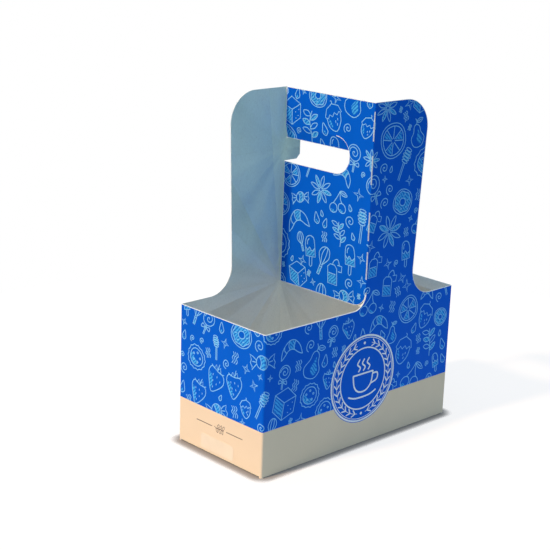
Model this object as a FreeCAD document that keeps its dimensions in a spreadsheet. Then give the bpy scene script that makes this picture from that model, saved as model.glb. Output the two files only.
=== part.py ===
"""A folded paperboard carrier for two takeaway cups.

One die-cut sheet makes four walls, an interlocked bottom and a carrying web. Half of each long
wall runs on upwards as a neck, and each neck turns inwards at the middle of the carrier. The two
turned-in leaves lie back to back in the middle plane and are glued, so the web is two sheets thick
and the necks and the web form a Z in plan. A hand hole goes through both leaves.

Frame: origin at the centre of the base, +X along the long walls, +Y towards the back long wall,
+Z up. All lengths are in millimetres.
"""

import FreeCAD, Part
import math
import os

import Sketcher
from FreeCAD import Placement, Rotation, Vector

SIZES = [
    ("length_outer", 190.0, "long walls, outside"),
    ("width_outer", 87.2, "end walls, outside"),
    ("wall_height", 102.0, "top edge of the four walls"),
    ("total_height", 246.7, "top edge of the necks and the web"),
    ("board", 0.6, "thickness of the sheet"),
    ("fold_radius", 0.8, "inside radius of the four upright folds"),
    ("neck_top_reach", 53.0, "middle plane to the neck's side, below its top corner"),
    ("neck_waist_reach", 48.5, "middle plane to the neck's side, above its foot"),
    ("neck_corner_radius", 22.0, "top outer corner of a neck"),
    ("foot_radius", 20.0, "neck's side into the wall's top edge"),
    ("relief_radius", 11.5, "round end of the cut between a leaf and the wall below it"),
    ("root_lap", 6.0, "how far the neck's outline reaches down into the wall"),
    ("edge_gap", 0.3, "clearance of a loose cut edge"),
    ("hole_bottom", 192.6, "lower edge of the hand hole"),
    ("hole_top", 219.0, "upper edge of the hand hole"),
    ("hole_end", 21.6, "front neck's face to the round end of the hand hole"),
    ("grip_depth", 9.3, "height of the folded grip strip"),
    ("grip_angle", 13.0, "how far the grip strip is bent back"),
    ("tab_reach", 15.5, "middle plane to the end of the tab on the back neck"),
    ("tab_height", 16.8, "height of the tab"),
    ("tab_chamfer", 3.3, "corners of the tab"),
    ("tab_lip", 1.6, "lip past the back neck's fold, from the tab up to the hole's upper edge"),
    ("slot_width", 0.3, "slots that weaken the folds between the necks and the leaves"),
    ("slot_length", 19.0, "length of a slot"),
    ("slot_first", 123.5, "lower end of the lowest slot"),
    ("slot_second", 151.5, "lower end of the second slot"),
    ("slot_grip", 191.0, "lower end of the slot at the hand hole's level, on the front neck only"),
    ("slot_top", 221.0, "lower end of the uppermost slot"),
    ("foot_fold", 0.5, "outside radius of the folds round the bottom"),
    ("lock_step", 9.0, "how far a bottom flap reaches past the middle"),
    ("lock_slope", 10.0, "half length of the slanted part of the lock"),
    ("lock_slit", 0.6, "slit between the two large bottom flaps"),
    ("flap_end_gap", 1.2, "end of a large bottom flap to the end wall"),
    ("end_flap_depth", 42.0, "end wall to the edge of an end flap"),
    ("end_flap_taper", 14.0, "how much an end flap narrows on each side"),
    ("glue_flap_width", 16.0, "glued seam flap inside the end wall"),
    ("glue_flap_taper", 6.0, "slanted ends of the seam flap"),
    ("glue_flap_margin", 3.0, "seam flap's ends to the wall's edges"),
    ("sticker_width", 34.0, "sticker, along the end wall"),
    ("sticker_height", 11.0, "sticker, upwards"),
    ("sticker_corner", 2.0, "sticker's corner radius"),
    ("sticker_film", 0.15, "thickness of the sticker"),
    ("sticker_side", 2.0, "middle of the end wall to the sticker's centre, towards the back"),
    ("sticker_rise", 8.2, "height of the sticker's centre"),
]

doc = FreeCAD.newDocument("cup_carrier")
sheet = doc.addObject("Spreadsheet::Sheet", "Sizes")
for row, (alias, value, note) in enumerate(SIZES, start=1):
    sheet.set(f"A{row}", alias)
    sheet.set(f"B{row}", str(value))
    sheet.set(f"C{row}", note)
    sheet.setAlias(f"B{row}", alias)
doc.recompute()


def size(expression):
    """The value of an expression on the sheet, such as 'Sizes.board * 2'."""
    return float(sheet.evalExpression(expression))


class Outline:
    """A sketch on one of its body's origin planes, with places and radii bound to the sheet."""

    def __init__(self, body, name, role, lift=None):
        self.sketch = body.newObject("Sketcher::SketchObject", name)
        plane = [f for f in body.Origin.OriginFeatures if f.Role == role][0]
        self.sketch.AttachmentSupport = [(plane, "")]
        self.sketch.MapMode = "FlatFace"
        if lift:
            self.sketch.AttachmentOffset = Placement(Vector(0, 0, size(lift)), Rotation())
            self.sketch.setExpression("AttachmentOffset.Base.z", lift)
        self.count = 0

    def bind(self, constraint, expression):
        index = self.sketch.addConstraint(constraint)
        self.count += 1
        name = f"place_{self.count}"
        self.sketch.renameConstraint(index, name)
        self.sketch.setExpression("Constraints." + name, expression)

    def tie(self, *constraint):
        self.sketch.addConstraint(Sketcher.Constraint(*constraint))

    def line(self, start, end):
        a, b = [Vector(size(x), size(y), 0) for x, y in (start, end)]
        return self.sketch.addGeometry(Part.LineSegment(a, b), False)

    def arc(self, centre, radius, first, last):
        """An arc run anticlockwise from the angle first to the angle last, in radians."""
        middle = Vector(size(centre[0]), size(centre[1]), 0)
        circle = Part.Circle(middle, Vector(0, 0, 1), size(radius))
        return self.sketch.addGeometry(Part.ArcOfCircle(circle, first, last), False)

    def across(self, item, point, expression):
        self.bind(Sketcher.Constraint("DistanceX", -1, 1, item, point, size(expression)), expression)

    def up(self, item, point, expression):
        self.bind(Sketcher.Constraint("DistanceY", -1, 1, item, point, size(expression)), expression)

    def radius(self, item, expression):
        self.bind(Sketcher.Constraint("Radius", item, size(expression)), expression)

    def polygon(self, corners):
        """A closed outline of straight lines, each corner placed from the origin."""
        lines = [self.line(c, corners[(i + 1) % len(corners)]) for i, c in enumerate(corners)]
        for i, item in enumerate(lines):
            self.tie("Coincident", item, 2, lines[(i + 1) % len(lines)], 1)
            self.across(item, 1, corners[i][0])
            self.up(item, 1, corners[i][1])
        return lines

    def rectangle(self, x0, y0, x1, y1):
        return self.polygon([(x0, y0), (x1, y0), (x1, y1), (x0, y1)])


def pad(body, name, outline, length, back=False):
    """Thickens an outline; back turns the direction round."""
    feature = body.newObject("PartDesign::Pad", name)
    feature.Profile = outline.sketch
    feature.Length = size(length)
    feature.setExpression("Length", length)
    feature.Reversed = back
    outline.sketch.Visibility = False
    doc.recompute()
    return feature


def upright_edges(feature, places):
    """Names of the upright edges whose plan positions are in places."""
    names = []
    for i, edge in enumerate(feature.Shape.Edges, start=1):
        a, b = edge.Vertexes[0].Point, edge.Vertexes[-1].Point
        if abs(a.x - b.x) < 1e-6 and abs(a.y - b.y) < 1e-6 and abs(a.z - b.z) > 1e-3:
            if any(abs(a.x - x) < 0.02 and abs(a.y - y) < 0.02 for x, y in places):
                names.append(f"Edge{i}")
    return names


HALF_LENGTH = "Sizes.length_outer / 2"
HALF_WIDTH = "Sizes.width_outer / 2"
INNER_LENGTH = "Sizes.length_outer / 2 - Sizes.board"
INNER_WIDTH = "Sizes.width_outer / 2 - Sizes.board"

# The folded sheet: four walls.
carrier = doc.addObject("PartDesign::Body", "folded_carrier")
carrier.Label = "folded_carrier"

walls = Outline(carrier, "WallPlan", "XY_Plane")
walls.rectangle("-" + HALF_LENGTH, "-" + HALF_WIDTH, HALF_LENGTH, HALF_WIDTH)
walls.rectangle(f"-({INNER_LENGTH})", f"-({INNER_WIDTH})", INNER_LENGTH, INNER_WIDTH)
wall_ring = pad(carrier, "Walls", walls, "Sizes.wall_height")

# The four upright folds are rounded inside and outside about the same centres.
for title, half_x, half_y, radius in (
    ("FoldOutside", HALF_LENGTH, HALF_WIDTH, "Sizes.fold_radius + Sizes.board"),
    ("FoldInside", INNER_LENGTH, INNER_WIDTH, "Sizes.fold_radius"),
):
    hx, hy = size(half_x), size(half_y)
    fold = carrier.newObject("PartDesign::Fillet", title)
    places = [(sx * hx, sy * hy) for sx in (-1, 1) for sy in (-1, 1)]
    fold.Base = (wall_ring, upright_edges(wall_ring, places))
    fold.Radius = size(radius)
    fold.setExpression("Radius", radius)
    doc.recompute()
    wall_ring = fold

# The folds from the walls into the bottom flaps, all round the outside of the walls' foot.
foot_face = [face for face in wall_ring.Shape.Faces if face.BoundBox.ZMax < 1e-6][0]
foot_edges = [
    f"Edge{i}"
    for i, edge in enumerate(wall_ring.Shape.Edges, start=1)
    if any(edge.isSame(outer) for outer in foot_face.OuterWire.Edges)
]
foot_round = carrier.newObject("PartDesign::Fillet", "FootFold")
foot_round.Base = (wall_ring, foot_edges)
foot_round.Radius = size("Sizes.foot_fold")
foot_round.setExpression("Radius", "Sizes.foot_fold")
doc.recompute()

# The front wall's large bottom flap. With its twin from the back wall it makes an S-shaped lock.
FLAP_END = f"({INNER_LENGTH} - Sizes.fold_radius - Sizes.flap_end_gap)"
lock = Outline(carrier, "LockFlapPlan", "XY_Plane")
lock.polygon(
    [
        (f"-{FLAP_END}", f"-({INNER_WIDTH})"),
        (FLAP_END, f"-({INNER_WIDTH})"),
        (FLAP_END, "-Sizes.lock_step - Sizes.lock_slit / 2"),
        ("Sizes.lock_slope", "-Sizes.lock_step - Sizes.lock_slit / 2"),
        ("-Sizes.lock_slope", "Sizes.lock_step - Sizes.lock_slit / 2"),
        (f"-{FLAP_END}", "Sizes.lock_step - Sizes.lock_slit / 2"),
    ]
)
lock_flap = pad(carrier, "LockFlap", lock, "Sizes.board")

# The end wall's flap lies inside, glued down on both large flaps.
FLAP_SIDE = f"({INNER_WIDTH} - Sizes.fold_radius - Sizes.flap_end_gap)"
end = Outline(carrier, "EndFlapPlan", "XY_Plane", "Sizes.board")
end.polygon(
    [
        (f"-({INNER_LENGTH})", f"-{FLAP_SIDE}"),
        (f"-({INNER_LENGTH} - Sizes.end_flap_depth)", f"-({FLAP_SIDE} - Sizes.end_flap_taper)"),
        (f"-({INNER_LENGTH} - Sizes.end_flap_depth)", f"{FLAP_SIDE} - Sizes.end_flap_taper"),
        (f"-({INNER_LENGTH})", FLAP_SIDE),
    ]
)
end_flap = pad(carrier, "EndFlap", end, "Sizes.board")

# The front neck, drawn in the front wall's own plane. It runs from the fold at the middle of the
# wall to its tapered side, and its outline starts below the wall's top edge.
neck = Outline(carrier, "NeckOutline", "XZ_Plane", HALF_WIDTH)
TOP = "Sizes.total_height"
RIM = "Sizes.wall_height"
CORNER_X = "Sizes.neck_top_reach - Sizes.neck_corner_radius"
CORNER_Z = "Sizes.total_height - Sizes.neck_corner_radius"
FOOT_X = "Sizes.neck_waist_reach + Sizes.foot_radius"
FOOT_Z = "Sizes.wall_height + Sizes.foot_radius"
RELIEF_Z = "Sizes.wall_height + Sizes.relief_radius"
ROOT = "Sizes.wall_height - Sizes.root_lap"
PI = math.pi
relief = neck.arc(("-Sizes.relief_radius", RELIEF_Z), "Sizes.relief_radius", 1.5 * PI, 2 * PI)
crease = neck.line(("0", RELIEF_Z), ("0", TOP))
top = neck.line(("0", TOP), (CORNER_X, TOP))
corner = neck.arc((CORNER_X, CORNER_Z), "Sizes.neck_corner_radius", 0, 0.5 * PI)
side = neck.line(("Sizes.neck_top_reach", CORNER_Z), ("Sizes.neck_waist_reach", FOOT_Z))
foot = neck.arc((FOOT_X, FOOT_Z), "Sizes.foot_radius", PI, 1.5 * PI)
foot_down = neck.line((FOOT_X, RIM), (FOOT_X, ROOT))
root = neck.line((FOOT_X, ROOT), ("-Sizes.relief_radius", ROOT))
relief_down = neck.line(("-Sizes.relief_radius", ROOT), ("-Sizes.relief_radius", RIM))
neck.tie("Tangent", relief, 2, crease, 1)
neck.tie("Coincident", crease, 2, top, 1)
neck.tie("Tangent", top, 2, corner, 2)
neck.tie("Tangent", corner, 1, side, 1)
neck.tie("Tangent", side, 2, foot, 1)
neck.tie("Coincident", foot, 2, foot_down, 1)
neck.tie("Coincident", foot_down, 2, root, 1)
neck.tie("Coincident", root, 2, relief_down, 1)
neck.tie("Coincident", relief_down, 2, relief, 1)
neck.tie("Vertical", crease)
neck.tie("Horizontal", top)
neck.tie("Vertical", foot_down)
neck.tie("Vertical", relief_down)
neck.tie("Horizontal", root)
neck.tie("PointOnObject", crease, 1, -2)
neck.tie("Vertical", foot, 3, foot, 2)
neck.tie("Vertical", relief, 3, relief, 1)
neck.up(top, 1, TOP)
neck.radius(corner, "Sizes.neck_corner_radius")
neck.across(side, 1, "Sizes.neck_top_reach")
neck.radius(foot, "Sizes.foot_radius")
neck.across(side, 2, "Sizes.neck_waist_reach")
neck.up(foot, 2, RIM)
neck.radius(relief, "Sizes.relief_radius")
neck.up(relief, 1, RIM)
neck.up(root, 1, ROOT)
neck_pad = pad(carrier, "Neck", neck, "Sizes.board", back=True)

# The leaf turned in from the front neck, up to the loose edge beside the back neck. Its lower edge
# is the other side of the cut along the wall's top edge, so its corner has the same radius.
leaf = Outline(carrier, "LeafOutline", "YZ_Plane")
LOOSE = f"{INNER_WIDTH} - Sizes.edge_gap"
FRONT = f"-({HALF_WIDTH})"
RELIEF_Y = f"-({HALF_WIDTH}) + Sizes.relief_radius"
fold_side = leaf.line((FRONT, TOP), (FRONT, RELIEF_Z))
nose = leaf.arc((RELIEF_Y, RELIEF_Z), "Sizes.relief_radius", PI, 1.5 * PI)
hem = leaf.line((RELIEF_Y, RIM), (LOOSE, RIM))
loose = leaf.line((LOOSE, RIM), (LOOSE, TOP))
head = leaf.line((LOOSE, TOP), (FRONT, TOP))
leaf.tie("Tangent", fold_side, 2, nose, 1)
leaf.tie("Tangent", nose, 2, hem, 1)
leaf.tie("Coincident", hem, 2, loose, 1)
leaf.tie("Coincident", loose, 2, head, 1)
leaf.tie("Coincident", head, 2, fold_side, 1)
leaf.tie("Vertical", fold_side)
leaf.tie("Vertical", loose)
leaf.tie("Horizontal", head)
leaf.tie("Horizontal", hem)
leaf.across(fold_side, 1, FRONT)
leaf.up(fold_side, 1, TOP)
leaf.radius(nose, "Sizes.relief_radius")
leaf.up(hem, 2, RIM)
leaf.across(hem, 2, LOOSE)
leaf_pad = pad(carrier, "Leaf", leaf, "Sizes.board", back=True)

# The fold between neck and leaf is round outside, about the inner corner of the sheet.
bend = Outline(carrier, "LeafFoldPlan", "XY_Plane", RELIEF_Z)
BEND_Y = f"-({INNER_WIDTH})"
OUTSIDE_X = "-Sizes.board * 2"
OUTSIDE_Y = f"-({HALF_WIDTH} + Sizes.board)"
bend_arc = bend.arc(("0", BEND_Y), "Sizes.board", PI, 1.5 * PI)
bend_lines = [
    bend.line(("0", FRONT), ("0", OUTSIDE_Y)),
    bend.line(("0", OUTSIDE_Y), (OUTSIDE_X, OUTSIDE_Y)),
    bend.line((OUTSIDE_X, OUTSIDE_Y), (OUTSIDE_X, BEND_Y)),
    bend.line((OUTSIDE_X, BEND_Y), ("-Sizes.board", BEND_Y)),
]
bend.tie("Coincident", bend_arc, 2, bend_lines[0], 1)
for first, second in zip(bend_lines, bend_lines[1:]):
    bend.tie("Coincident", first, 2, second, 1)
bend.tie("Coincident", bend_lines[3], 2, bend_arc, 1)
bend.tie("Vertical", bend_lines[0])
bend.tie("Horizontal", bend_lines[1])
bend.tie("Vertical", bend_lines[2])
bend.tie("Horizontal", bend_lines[3])
bend.tie("PointOnObject", bend_arc, 3, -2)
bend.tie("Vertical", bend_arc, 3, bend_arc, 2)
bend.tie("Horizontal", bend_arc, 3, bend_arc, 1)
bend.radius(bend_arc, "Sizes.board")
bend.up(bend_arc, 3, BEND_Y)
bend.up(bend_lines[1], 1, OUTSIDE_Y)
bend.across(bend_lines[2], 1, OUTSIDE_X)
before = carrier.Shape.Volume
bend_cut = carrier.newObject("PartDesign::Pocket", "LeafFold")
bend_cut.Profile = bend.sketch
bend_cut.Length = size("Sizes.total_height")
bend_cut.setExpression("Length", "Sizes.total_height")
bend_cut.Reversed = True
doc.recompute()
print("leaf fold takes away", round(before - carrier.Shape.Volume, 1), "mm3")


def fold_slots(name, lower_ends):
    """Cuts slots through the front neck's fold, square to the fold's outside."""
    slots = Outline(carrier, name + "Outline", "XZ_Plane")
    offset = "Sizes.board * 0.05"
    slots.sketch.AttachmentOffset = Placement(
        Vector(size(offset), 0, size(f"{INNER_WIDTH} - {offset}")), Rotation(Vector(0, 1, 0), -45)
    )
    slots.sketch.setExpression("AttachmentOffset.Base.x", offset)
    slots.sketch.setExpression("AttachmentOffset.Base.z", f"{INNER_WIDTH} - {offset}")
    for low in lower_ends:
        slots.rectangle("-Sizes.slot_width / 2", low, "Sizes.slot_width / 2", low + " + Sizes.slot_length")
    volume = carrier.Shape.Volume
    cut = carrier.newObject("PartDesign::Pocket", name)
    cut.Profile = slots.sketch
    cut.Length = size("Sizes.board * 2")
    cut.setExpression("Length", "Sizes.board * 2")
    cut.Reversed = True
    doc.recompute()
    print(name, "takes away", round(volume - carrier.Shape.Volume, 2), "mm3")
    return cut


slot_cut = fold_slots("FoldSlots", ("Sizes.slot_first", "Sizes.slot_second", "Sizes.slot_top"))

# The back half is the front half turned half round: bottom flaps, neck, leaf and its fold.
turned = carrier.newObject("PartDesign::PolarPattern", "BackHalf")
turned.Originals = [lock_flap, end_flap, neck_pad, leaf_pad, bend_cut, slot_cut]
axis = [f for f in carrier.Origin.OriginFeatures if f.Role == "Z_Axis"][0]
turned.Axis = (axis, [""])
turned.Angle = 360
turned.Occurrences = 2
carrier.Tip = turned
doc.recompute()

fold_slots("GripSlot", ("Sizes.slot_grip",))

# The hand hole goes through both leaves, from its round end to the back neck's fold.
hole = Outline(carrier, "HandHoleOutline", "YZ_Plane", "-Sizes.board * 2")
HOLE_RADIUS = "(Sizes.hole_top - Sizes.hole_bottom) / 2"
HOLE_Y = f"-({HALF_WIDTH}) + Sizes.hole_end + {HOLE_RADIUS}"
HOLE_Z = "(Sizes.hole_top + Sizes.hole_bottom) / 2"
low = hole.line((HOLE_Y, "Sizes.hole_bottom"), (INNER_WIDTH, "Sizes.hole_bottom"))
open_end = hole.line((INNER_WIDTH, "Sizes.hole_bottom"), (INNER_WIDTH, "Sizes.hole_top"))
high = hole.line((INNER_WIDTH, "Sizes.hole_top"), (HOLE_Y, "Sizes.hole_top"))
round_end = hole.arc((HOLE_Y, HOLE_Z), HOLE_RADIUS, 0.5 * PI, 1.5 * PI)
hole.tie("Coincident", low, 2, open_end, 1)
hole.tie("Coincident", open_end, 2, high, 1)
hole.tie("Tangent", high, 2, round_end, 1)
hole.tie("Tangent", round_end, 2, low, 1)
hole.tie("Horizontal", low)
hole.tie("Horizontal", high)
hole.tie("Vertical", open_end)
hole.across(low, 2, INNER_WIDTH)
hole.up(low, 2, "Sizes.hole_bottom")
hole.up(high, 1, "Sizes.hole_top")
hole.across(low, 1, HOLE_Y)
before = carrier.Shape.Volume
hand_hole = carrier.newObject("PartDesign::Pocket", "HandHole")
hand_hole.Profile = hole.sketch
hand_hole.Length = size("Sizes.board * 4")
hand_hole.setExpression("Length", "Sizes.board * 4")
hand_hole.Reversed = True
doc.recompute()
print("hand hole takes away", round(before - carrier.Shape.Volume, 1), "mm3")

# The grip strip stays on the front leaf at the hole's upper edge and is bent back through the
# hole. Its crease is the line from which this sketch is tilted.
grip = Outline(carrier, "GripOutline", "YZ_Plane")
grip.sketch.AttachmentOffset = Placement(
    Vector(0, size("Sizes.hole_top"), 0), Rotation(Vector(1, 0, 0), -size("Sizes.grip_angle"))
)
grip.sketch.setExpression("AttachmentOffset.Base.y", "Sizes.hole_top")
grip.sketch.setExpression("AttachmentOffset.Rotation.Angle", "-Sizes.grip_angle")
GRIP_RADIUS = f"{HOLE_RADIUS} - Sizes.edge_gap"
lower = size("Sizes.grip_depth")
reach = size(GRIP_RADIUS)
drop = size(HOLE_RADIUS) - lower
grip_end = (reach**2 - drop**2) ** 0.5
start_angle = math.atan2(drop, -grip_end)
arc_end = grip.arc((HOLE_Y, f"-({HOLE_RADIUS})"), GRIP_RADIUS, 0.5 * PI, start_angle)
bottom = grip.line((f"{HOLE_Y} - {grip_end}", "-Sizes.grip_depth"), (LOOSE, "-Sizes.grip_depth"))
right = grip.line((LOOSE, "-Sizes.grip_depth"), (LOOSE, "Sizes.board"))
seat = grip.line((LOOSE, "Sizes.board"), (HOLE_Y, "Sizes.board"))
left = grip.line((HOLE_Y, "Sizes.board"), (HOLE_Y, "-Sizes.edge_gap"))
grip.tie("Coincident", arc_end, 2, bottom, 1)
grip.tie("Coincident", bottom, 2, right, 1)
grip.tie("Coincident", right, 2, seat, 1)
grip.tie("Coincident", seat, 2, left, 1)
grip.tie("Coincident", left, 2, arc_end, 1)
grip.tie("Vertical", arc_end, 1, arc_end, 3)
grip.tie("Horizontal", bottom)
grip.tie("Horizontal", seat)
grip.tie("Vertical", left)
grip.tie("Vertical", right)
grip.radius(arc_end, GRIP_RADIUS)
grip.across(arc_end, 3, HOLE_Y)
grip.up(arc_end, 3, f"-({HOLE_RADIUS})")
grip.up(bottom, 2, "-Sizes.grip_depth")
grip.across(bottom, 2, LOOSE)
grip.up(seat, 1, "Sizes.board")
grip_pad = pad(carrier, "GripStrip", grip, "Sizes.board", back=True)

# The tab stays in the back wall's plane, past the fold, at the level of the hand hole. Above it a
# narrow lip covers the loose end of the grip strip.
tab = Outline(carrier, "TabOutline", "XZ_Plane", "-" + HALF_WIDTH)
TAB_LOW = "Sizes.hole_bottom + Sizes.edge_gap"
TAB_HIGH = "Sizes.hole_bottom + Sizes.tab_height"
tab.polygon(
    [
        ("0", TAB_LOW),
        ("Sizes.tab_reach - Sizes.tab_chamfer", TAB_LOW),
        ("Sizes.tab_reach", TAB_LOW + " + Sizes.tab_chamfer"),
        ("Sizes.tab_reach", TAB_HIGH + " - Sizes.tab_chamfer"),
        ("Sizes.tab_reach - Sizes.tab_chamfer", TAB_HIGH),
        ("Sizes.tab_lip", TAB_HIGH),
        ("Sizes.tab_lip", "Sizes.hole_top - Sizes.edge_gap"),
        ("0", "Sizes.hole_top - Sizes.edge_gap"),
    ]
)
tab_pad = pad(carrier, "Tab", tab, "Sizes.board")

# The glued seam: a flap of the back wall, inside the end wall beside their common fold.
seam = Outline(carrier, "SeamFlapOutline", "YZ_Plane", f"-({INNER_LENGTH})")
SEAM_LOW = "Sizes.board * 2 + Sizes.glue_flap_margin"
SEAM_HIGH = "Sizes.wall_height - Sizes.glue_flap_margin"
SEAM_ROOT = f"{INNER_WIDTH} - Sizes.fold_radius"
SEAM_TIP = f"{INNER_WIDTH} - Sizes.glue_flap_width"
seam.polygon(
    [
        (SEAM_ROOT, SEAM_LOW),
        (SEAM_ROOT, SEAM_HIGH),
        (SEAM_TIP, SEAM_HIGH + " - Sizes.glue_flap_taper"),
        (SEAM_TIP, SEAM_LOW + " + Sizes.glue_flap_taper"),
    ]
)
seam_pad = pad(carrier, "SeamFlap", seam, "Sizes.board")

# The sticker on the end wall's lower band.
sticker = doc.addObject("PartDesign::Body", "sticker")
sticker.Label = "sticker"
label = Outline(sticker, "StickerOutline", "YZ_Plane", "-" + HALF_LENGTH)
label.rectangle(
    "Sizes.sticker_side - Sizes.sticker_width / 2",
    "Sizes.sticker_rise - Sizes.sticker_height / 2",
    "Sizes.sticker_side + Sizes.sticker_width / 2",
    "Sizes.sticker_rise + Sizes.sticker_height / 2",
)
label_pad = pad(sticker, "StickerPaper", label, "Sizes.sticker_film", back=True)
rounded = sticker.newObject("PartDesign::Fillet", "StickerCorners")
corners = [
    f"Edge{i}"
    for i, edge in enumerate(label_pad.Shape.Edges, start=1)
    if abs(edge.Vertexes[0].X - edge.Vertexes[-1].X) > 1e-3
]
rounded.Base = (label_pad, corners)
rounded.Radius = size("Sizes.sticker_corner")
rounded.setExpression("Radius", "Sizes.sticker_corner")
doc.recompute()

faults = []
for item in doc.Objects:
    if {"Invalid", "Error"} & set(item.State):
        faults.append(f"{item.Name}: {item.State}")
for item in (carrier, sticker):
    if item.Shape.isNull() or not item.Shape.isValid() or len(item.Shape.Solids) != 1:
        faults.append(f"{item.Label}: not one valid solid")
for item in doc.Objects:
    if item.TypeId == "Sketcher::SketchObject" and not item.FullyConstrained:
        faults.append(f"{item.Name}: not fully constrained")
if faults:
    raise SystemExit("\n".join(faults))

os.makedirs("parts", exist_ok=True)
for item in (carrier, sticker):
    item.Shape.exportStep(f"parts/{item.Label}.step")
    box = item.Shape.BoundBox
    print(item.Label, "volume", round(item.Shape.Volume, 1), "faces", len(item.Shape.Faces),
          "box", [round(v, 2) for v in (box.XMin, box.YMin, box.ZMin, box.XMax, box.YMax, box.ZMax)])
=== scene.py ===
"""A printed paperboard cup carrier, folded up from its flat blank, with its sticker and studio.

The blank is drawn flat, in millimetres: s runs along the walls and q runs up the sheet. Half of it
makes the left end wall, the front wall, the front neck and the front leaf of the web. The other
half is the same blank turned half round, with its own print, hand hole and tab.
"""

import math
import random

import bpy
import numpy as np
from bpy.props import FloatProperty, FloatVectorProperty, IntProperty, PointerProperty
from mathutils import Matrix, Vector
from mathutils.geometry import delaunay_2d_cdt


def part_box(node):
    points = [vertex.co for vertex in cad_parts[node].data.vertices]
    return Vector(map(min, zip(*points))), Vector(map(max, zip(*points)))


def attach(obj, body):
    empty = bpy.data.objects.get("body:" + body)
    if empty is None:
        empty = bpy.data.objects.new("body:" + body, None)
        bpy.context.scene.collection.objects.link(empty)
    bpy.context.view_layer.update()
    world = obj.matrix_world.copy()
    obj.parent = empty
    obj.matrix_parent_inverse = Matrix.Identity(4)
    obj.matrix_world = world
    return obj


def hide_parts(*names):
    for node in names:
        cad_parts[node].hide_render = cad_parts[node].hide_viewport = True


bl_info = {
    "name": "Folded Cup Carrier",
    "version": (1, 0, 0),
    "blender": (4, 5, 0),
    "location": "3D View > Sidebar > Carrier",
    "description": "Folds a printed paperboard cup carrier round its packed frame",
    "category": "Object",
}

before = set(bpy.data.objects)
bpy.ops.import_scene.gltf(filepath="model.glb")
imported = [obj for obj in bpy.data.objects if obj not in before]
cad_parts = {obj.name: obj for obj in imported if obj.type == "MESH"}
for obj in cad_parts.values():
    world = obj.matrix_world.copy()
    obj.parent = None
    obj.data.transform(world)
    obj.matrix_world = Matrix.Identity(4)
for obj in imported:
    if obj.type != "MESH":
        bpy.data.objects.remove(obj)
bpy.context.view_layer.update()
_, BOARD_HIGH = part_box("folded_carrier")
STICKER_LOW, STICKER_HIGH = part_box("sticker")

MM = 0.001
HALF_TURN = math.pi
QUARTER_TURN = math.pi / 2

# How far a stroke's end stands out, as a share of half its width.
STROKE_TIP = 0.7

# Order of the sheet's materials, used as face indices.
BLUE, LINE, TINT, CREAM, GREY, EDGE, WHITE, BROWN = range(8)


def length(name, text, default):
    """A size that a user may change, in metres."""
    return FloatProperty(name=name, description=text, default=default, unit="LENGTH", subtype="DISTANCE")


def colour(name, text, default):
    """A colour that a user may change."""
    return FloatVectorProperty(name=name, description=text, default=default, subtype="COLOR", min=0, max=1)


class CarrierSheetSettings(bpy.types.PropertyGroup):
    """Sizes of the folded sheet."""

    half_length: length("Half length", "Middle plane to the end wall's face", BOARD_HIGH[0])
    half_width: length("Half width", "Middle plane to the long wall's face", BOARD_HIGH[1])
    height: length("Height", "Top edge of the necks and the web", BOARD_HIGH[2])
    wall: length("Wall height", "Top edge of the four walls", 0.102)
    board: length("Board", "Thickness of the sheet", 0.0006)
    corner: length("Corner fold", "Outside radius of the upright folds", 0.0014)
    neck_top: length("Neck top", "Fold to the neck's side, below its top corner", 0.053)
    neck_waist: length("Neck waist", "Fold to the neck's side, above its foot", 0.0485)
    neck_corner: length("Neck corner", "Radius of the neck's top corner", 0.022)
    foot: length("Foot", "Radius from the neck's side into the wall", 0.020)
    relief: length("Relief", "Round end of the cut between leaf and wall", 0.0115)
    hole_low: length("Hole bottom", "Lower edge of the hand hole", 0.1926)
    hole_high: length("Hole top", "Upper edge of the hand hole", 0.219)
    hole_end: length("Hole end", "Front face to the round end of the hand hole", 0.0216)
    grip_depth: length("Grip depth", "Height of the folded grip strip", 0.0093)
    tab_reach: length("Tab reach", "Fold to the end of the tab", 0.0155)
    tab_height: length("Tab height", "Height of the tab", 0.0168)
    grip_angle: FloatProperty(
        name="Grip angle", description="How far the grip strip is bent back", default=math.radians(13),
        unit="ROTATION", subtype="ANGLE",
    )


class CarrierPrintSettings(bpy.types.PropertyGroup):
    """Colours and scale of the print."""

    band: length("Band height", "Top of the cream band at the foot", 0.0333)
    stroke: length("Stroke", "Width of a drawn line", 0.00062)
    motif: length("Motif size", "Radius of the larger motifs", 0.0112)
    seed: IntProperty(name="Layout seed", description="Changes how the motifs are scattered", default=11)
    blue: colour("Blue", "Ground of the print", (0.001, 0.114, 0.68))
    line: colour("Line", "Drawn lines", (0.22, 0.56, 0.99))
    tint: colour("Tint", "Hatched areas of the motifs", (0.06, 0.42, 0.90))
    cream: colour("Cream", "Band at the foot", (0.82, 0.66, 0.49))
    # Painted light: the neck grey on the next line is a cooler teal than this grey of the lower inside. The
    # teal stands in for blue light bounced off the printed web, and the lower inside is painted warmer for
    # warm bounce light.
    grey: colour("Grey", "Uncoated inside of the board", (0.85, 0.86, 0.82))
    neck_painted_bounce: colour("Neck grey, painted bounce light", "The inside of the necks, tinted for blue light bounced off the web", (0.70, 0.90, 0.85))


class CarrierStageSettings(bpy.types.PropertyGroup):
    """Light of the studio."""

    key: FloatProperty(name="Key light", description="Strength of the key light", default=3.3)
    sky: FloatProperty(name="Fill", description="Strength of the soft light around", default=1.166)
    key_colour: colour("Key colour", "Colour of the key light", (0.97, 0.66, 0.40))
    side_colour: colour("Side colour", "Colour of the soft light from the sides", (0.1575, 0.2455, 0.361))
    top_colour: colour("Top colour", "Colour of the soft light from above", (0.926, 1.0, 0.972))


# Drawing on the flat blank

def arc(cx, cy, radius, first, last, step=1.4):
    """Points of an arc, from one angle in degrees to another, both ends included."""
    count = max(2, int(math.ceil(abs(math.radians(last - first)) * radius / step)) + 1)
    angles = np.radians(np.linspace(first, last, count))
    return [(cx + radius * math.cos(a), cy + radius * math.sin(a)) for a in angles]


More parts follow.
